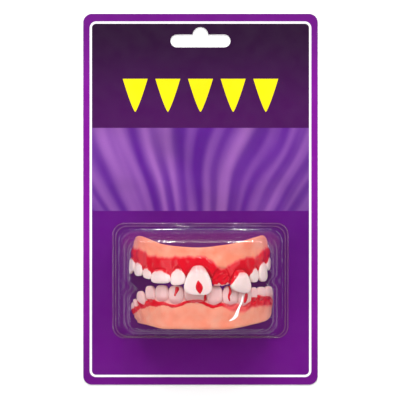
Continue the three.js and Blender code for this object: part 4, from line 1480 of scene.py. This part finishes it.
class FANGS_OT_gums(bpy.types.Operator):
    """Make the two soft gums with their blood paint"""

    bl_idname = "fangs.gums"
    bl_label = "Gums"

    def execute(self, context):
        looks = context.scene.fangs_denture
        material = gum_material(looks)
        for jaw in ARCHES:
            make_gum(jaw, looks, material)
        return {"FINISHED"}


class FANGS_OT_teeth(bpy.types.Operator):
    """Make the teeth of both arches, and the thick drops of blood on them"""

    bl_idname = "fangs.teeth"
    bl_label = "Teeth and drops"

    def execute(self, context):
        looks = context.scene.fangs_denture
        teeth = make_teeth(looks)
        height = surface_under(teeth)
        material = blood_material(looks)
        for name, path in DRIPS.items():
            make_drip(name, path, 0.3, height, material)
        return {"FINISHED"}


class FANGS_OT_blister(bpy.types.Operator):
    """Make the clear blister over the arches"""

    bl_idname = "fangs.blister"
    bl_label = "Blister"

    def execute(self, context):
        looks = context.scene.fangs_blister
        blister = make_blister(looks)
        height = surface_under([blister])
        # The creases are raised folds whose white is a painted highlight.
        material = film_material(looks, "crease film with painted highlight", PAINTED_HIGHLIGHT_WHITE, 1.0)
        for name, path in CREASES.items():
            make_drip(name, path, 0.16, height, material, "blister")
        return {"FINISHED"}


def bead_tree():
    """A half-round bead that follows a rounded rectangle."""
    tree = bpy.data.node_groups.new("bead along a rounded rectangle", "GeometryNodeTree")
    face = tree.interface
    sizes = ("Width", "Height", "Middle Y", "Level", "Corner", "Bead width", "Bead height")
    for label in sizes:
        face.new_socket(label, in_out="INPUT", socket_type="NodeSocketFloat")
    face.new_socket("Corner steps", in_out="INPUT", socket_type="NodeSocketInt")
    face.new_socket("Material", in_out="INPUT", socket_type="NodeSocketMaterial")
    face.new_socket("Geometry", in_out="OUTPUT", socket_type="NodeSocketGeometry")

    def node(kind, **settings):
        made = tree.nodes.new(kind)
        for key, value in settings.items():
            setattr(made, key, value)
        return made

    def join(a, output, b, entry):
        tree.links.new(a.outputs[output], b.inputs[entry])

    given = node("NodeGroupInput")
    path = node("GeometryNodeCurvePrimitiveQuadrilateral")
    join(given, "Width", path, "Width")
    join(given, "Height", path, "Height")
    fillet = node("GeometryNodeFilletCurve", mode="POLY")
    join(path, "Curve", fillet, "Curve")
    join(given, "Corner steps", fillet, "Count")
    join(given, "Corner", fillet, "Radius")
    upright = node("GeometryNodeSetCurveNormal", mode="Z_UP")
    join(fillet, "Curve", upright, "Curve")
    half = node("GeometryNodeCurveArc")
    half.inputs["Resolution"].default_value = 11
    half.inputs["Start Angle"].default_value = 0.0
    half.inputs["Sweep Angle"].default_value = math.pi
    half.inputs["Connect Center"].default_value = True
    half_width = node("ShaderNodeMath", operation="MULTIPLY")
    join(given, "Bead width", half_width, 0)
    half_width.inputs[1].default_value = 0.5
    tree.links.new(half_width.outputs[0], half.inputs["Radius"])
    ratio = node("ShaderNodeMath", operation="DIVIDE")
    join(given, "Bead height", ratio, 0)
    tree.links.new(half_width.outputs[0], ratio.inputs[1])
    scale = node("ShaderNodeCombineXYZ")
    scale.inputs[0].default_value = 1.0
    scale.inputs[2].default_value = 1.0
    tree.links.new(ratio.outputs[0], scale.inputs[1])
    squash = node("GeometryNodeTransform")
    join(half, "Curve", squash, "Geometry")
    tree.links.new(scale.outputs[0], squash.inputs["Scale"])
    sweep = node("GeometryNodeCurveToMesh")
    join(upright, "Curve", sweep, "Curve")
    join(squash, "Geometry", sweep, "Profile Curve")
    shift = node("ShaderNodeCombineXYZ")
    join(given, "Middle Y", shift, 1)
    join(given, "Level", shift, 2)
    move = node("GeometryNodeTransform")
    join(sweep, "Mesh", move, "Geometry")
    tree.links.new(shift.outputs[0], move.inputs["Translation"])
    realize = node("GeometryNodeRealizeInstances")
    join(move, "Geometry", realize, "Geometry")
    paint = node("GeometryNodeSetMaterial")
    join(realize, "Geometry", paint, "Geometry")
    join(given, "Material", paint, "Material")
    result = node("NodeGroupOutput")
    join(paint, "Geometry", result, "Geometry")
    return tree


def run_tree(name, tree, values):
    """Runs a geometry tree with the given inputs and keeps its result as a plain mesh piece."""
    holder = bpy.data.objects.new(name + "_path", bpy.data.meshes.new(name + "_path"))
    bpy.context.scene.collection.objects.link(holder)
    modifier = holder.modifiers.new("shape", "NODES")
    modifier.node_group = tree
    for item in tree.interface.items_tree:
        if item.item_type == "SOCKET" and item.in_out == "INPUT" and item.name in values:
            modifier[item.identifier] = values[item.name]
    graph = bpy.context.evaluated_depsgraph_get()
    mesh = bpy.data.meshes.new_from_object(holder.evaluated_get(graph), depsgraph=graph)
    holder.modifiers.clear()
    bpy.data.objects.remove(holder)
    mesh.name = name
    piece = bpy.data.objects.new(name, mesh)
    bpy.context.scene.collection.objects.link(piece)
    return piece


class FANGS_OT_bead(bpy.types.Operator):
    """Make the raised bead round the blister's flange"""

    bl_idname = "fangs.bead"
    bl_label = "Rim bead"

    def execute(self, context):
        looks = context.scene.fangs_blister
        tree = bead_tree()
        material = film_material(looks, "bead film", added_white=0.07)
        for name, inset in BEADS.items():
            share = 1 - inset / FLANGE_SIDE
            left = BLISTER_SIDES["left"] - FLANGE_SIDE * share
            right = BLISTER_SIDES["right"] + FLANGE_SIDE * share
            bottom = BLISTER_SIDES["bottom"] - FLANGE_BOTTOM * share
            top = BLISTER_SIDES["top"] + FLANGE_TOP * share
            values = {
                "Width": (right - left) * MM,
                "Height": (top - bottom) * MM,
                "Middle Y": (top + bottom) / 2 * MM,
                "Level": (CARD_FACE + BLISTER_WALL) * MM,
                "Corner": FLANGE_CORNER * MM,
                "Bead width": looks.bead_width,
                "Bead height": looks.bead_height,
                "Corner steps": looks.bead_steps,
                "Material": material,
            }
            finish_piece(run_tree(name, tree, values), "blister")
        return {"FINISHED"}


def area_light(name, place_at, size, power, target):
    data = bpy.data.lights.new(name, "AREA")
    data.shape = "RECTANGLE"
    data.size, data.size_y = size
    data.energy = power
    lamp = bpy.data.objects.new(name, data)
    bpy.context.scene.collection.objects.link(lamp)
    lamp.location = place_at
    lamp.rotation_mode = "QUATERNION"
    lamp.rotation_quaternion = (Vector(target) - Vector(place_at)).to_track_quat("-Z", "Y")
    return lamp


FLOOR_REACH = 3000.0
FLOOR_DROP = 0.06
LIT_PLACE = (0, -0.03, 0.03)  # what the lights face, in metres

# The lights: where they stand and how large they are, in metres, and their share of the power.
# The two lamps are narrow, for the bright spots on the film's upper edge.
SOFTBOXES = (
    ("top softbox", (0.0, 0.8, 0.85), (0.4, 0.5), 0.17),
    ("left softbox", (-0.85, 0.0, 0.8), (0.8, 0.7), 0.27),
    ("right softbox", (0.78, 0.3, 0.8), (0.8, 0.7), 0.235),
    ("bottom softbox", (-0.05, -0.85, 0.8), (0.8, 0.6), 0.15),
    ("left corner strip", (-0.62, 0.62, 0.8), (0.45, 0.07), 0.06),
    ("right corner strip", (0.62, 0.62, 0.8), (0.45, 0.07), 0.06),
    ("left lamp", (-0.032, 0.86, 0.62), (0.006, 0.9), 0.11),
    ("right lamp", (0.036, 0.86, 0.62), (0.006, 0.9), 0.11),
)


class FANGS_OT_stage(bpy.types.Operator):
    """Make the pale floor, the soft light and the camera over the card"""

    bl_idname = "fangs.stage"
    bl_label = "Stage"

    def execute(self, context):
        looks = context.scene.fangs_stage
        scene = context.scene
        s = Shading("studio floor")
        tone = s.ramp(s.noise(300, 2), 0.0, 1.0, 0.985, 1.0)
        colour = s.shaded(opaque(looks.floor), tone)
        shader = s.node("ShaderNodeBsdfPrincipled", {"Base Color": colour, "Roughness": 0.9})
        material = s.finish(shader.outputs[0])
        signs = ((-1, -1), (1, -1), (1, 1), (-1, 1))
        corners = [(a * FLOOR_REACH, b * FLOOR_REACH, -FLOOR_DROP) for a, b in signs]
        floor = make_piece("studio_floor", corners, [(0, 1, 2, 3)], [material])
        world = bpy.data.worlds.new("studio")
        world.use_nodes = True
        background = world.node_tree.nodes["Background"]
        background.inputs["Color"].default_value = (1, 0.995, 0.99, 1)
        background.inputs["Strength"].default_value = looks.ambient
        scene.world = world
        for name, place_at, size, share in SOFTBOXES:
            area_light(name, place_at, size, looks.key * share, LIT_PLACE)
        camera = bpy.data.cameras.new("camera")
        camera.lens = looks.lens
        camera.sensor_width = 36
        camera.clip_start, camera.clip_end = 0.05, 50
        holder = bpy.data.objects.new("camera", camera)
        scene.collection.objects.link(holder)
        holder.location = (-0.22 * MM, -0.34 * MM, looks.camera_height)
        scene.camera = holder
        scene.view_settings.view_transform = "Standard"
        return {"FINISHED"}


class FANGS_PT_panel(bpy.types.Panel):
    """Lists the steps and the settings"""

    bl_label = "Fang denture"
    bl_idname = "FANGS_PT_panel"
    bl_space_type = "VIEW_3D"
    bl_region_type = "UI"
    bl_category = "Fang denture"

    def draw(self, context):
        for operator in OPERATORS:
            self.layout.operator(operator.bl_idname)
        for label, group in SETTINGS.items():
            box = self.layout.box()
            box.label(text=group.__doc__)
            for name in group.__annotations__:
                box.prop(getattr(context.scene, label), name)


SETTINGS = {
    "fangs_card": CardSettings,
    "fangs_denture": DentureSettings,
    "fangs_blister": BlisterSettings,
    "fangs_stage": StageSettings,
}
OPERATORS = (
    FANGS_OT_card,
    FANGS_OT_gums,
    FANGS_OT_teeth,
    FANGS_OT_blister,
    FANGS_OT_bead,
    FANGS_OT_stage,
)


def register():
    for group in (*SETTINGS.values(), *OPERATORS, FANGS_PT_panel):
        bpy.utils.register_class(group)
    for label, group in SETTINGS.items():
        setattr(bpy.types.Scene, label, PointerProperty(type=group))


def unregister():
    for label in SETTINGS:
        delattr(bpy.types.Scene, label)
    for group in reversed((*SETTINGS.values(), *OPERATORS, FANGS_PT_panel)):
        bpy.utils.unregister_class(group)


def main():
    register()
    bpy.ops.fangs.card()
    bpy.ops.fangs.gums()
    bpy.ops.fangs.teeth()
    bpy.ops.fangs.blister()
    bpy.ops.fangs.bead()
    bpy.ops.fangs.stage()


if __name__ == "__main__":
    main()
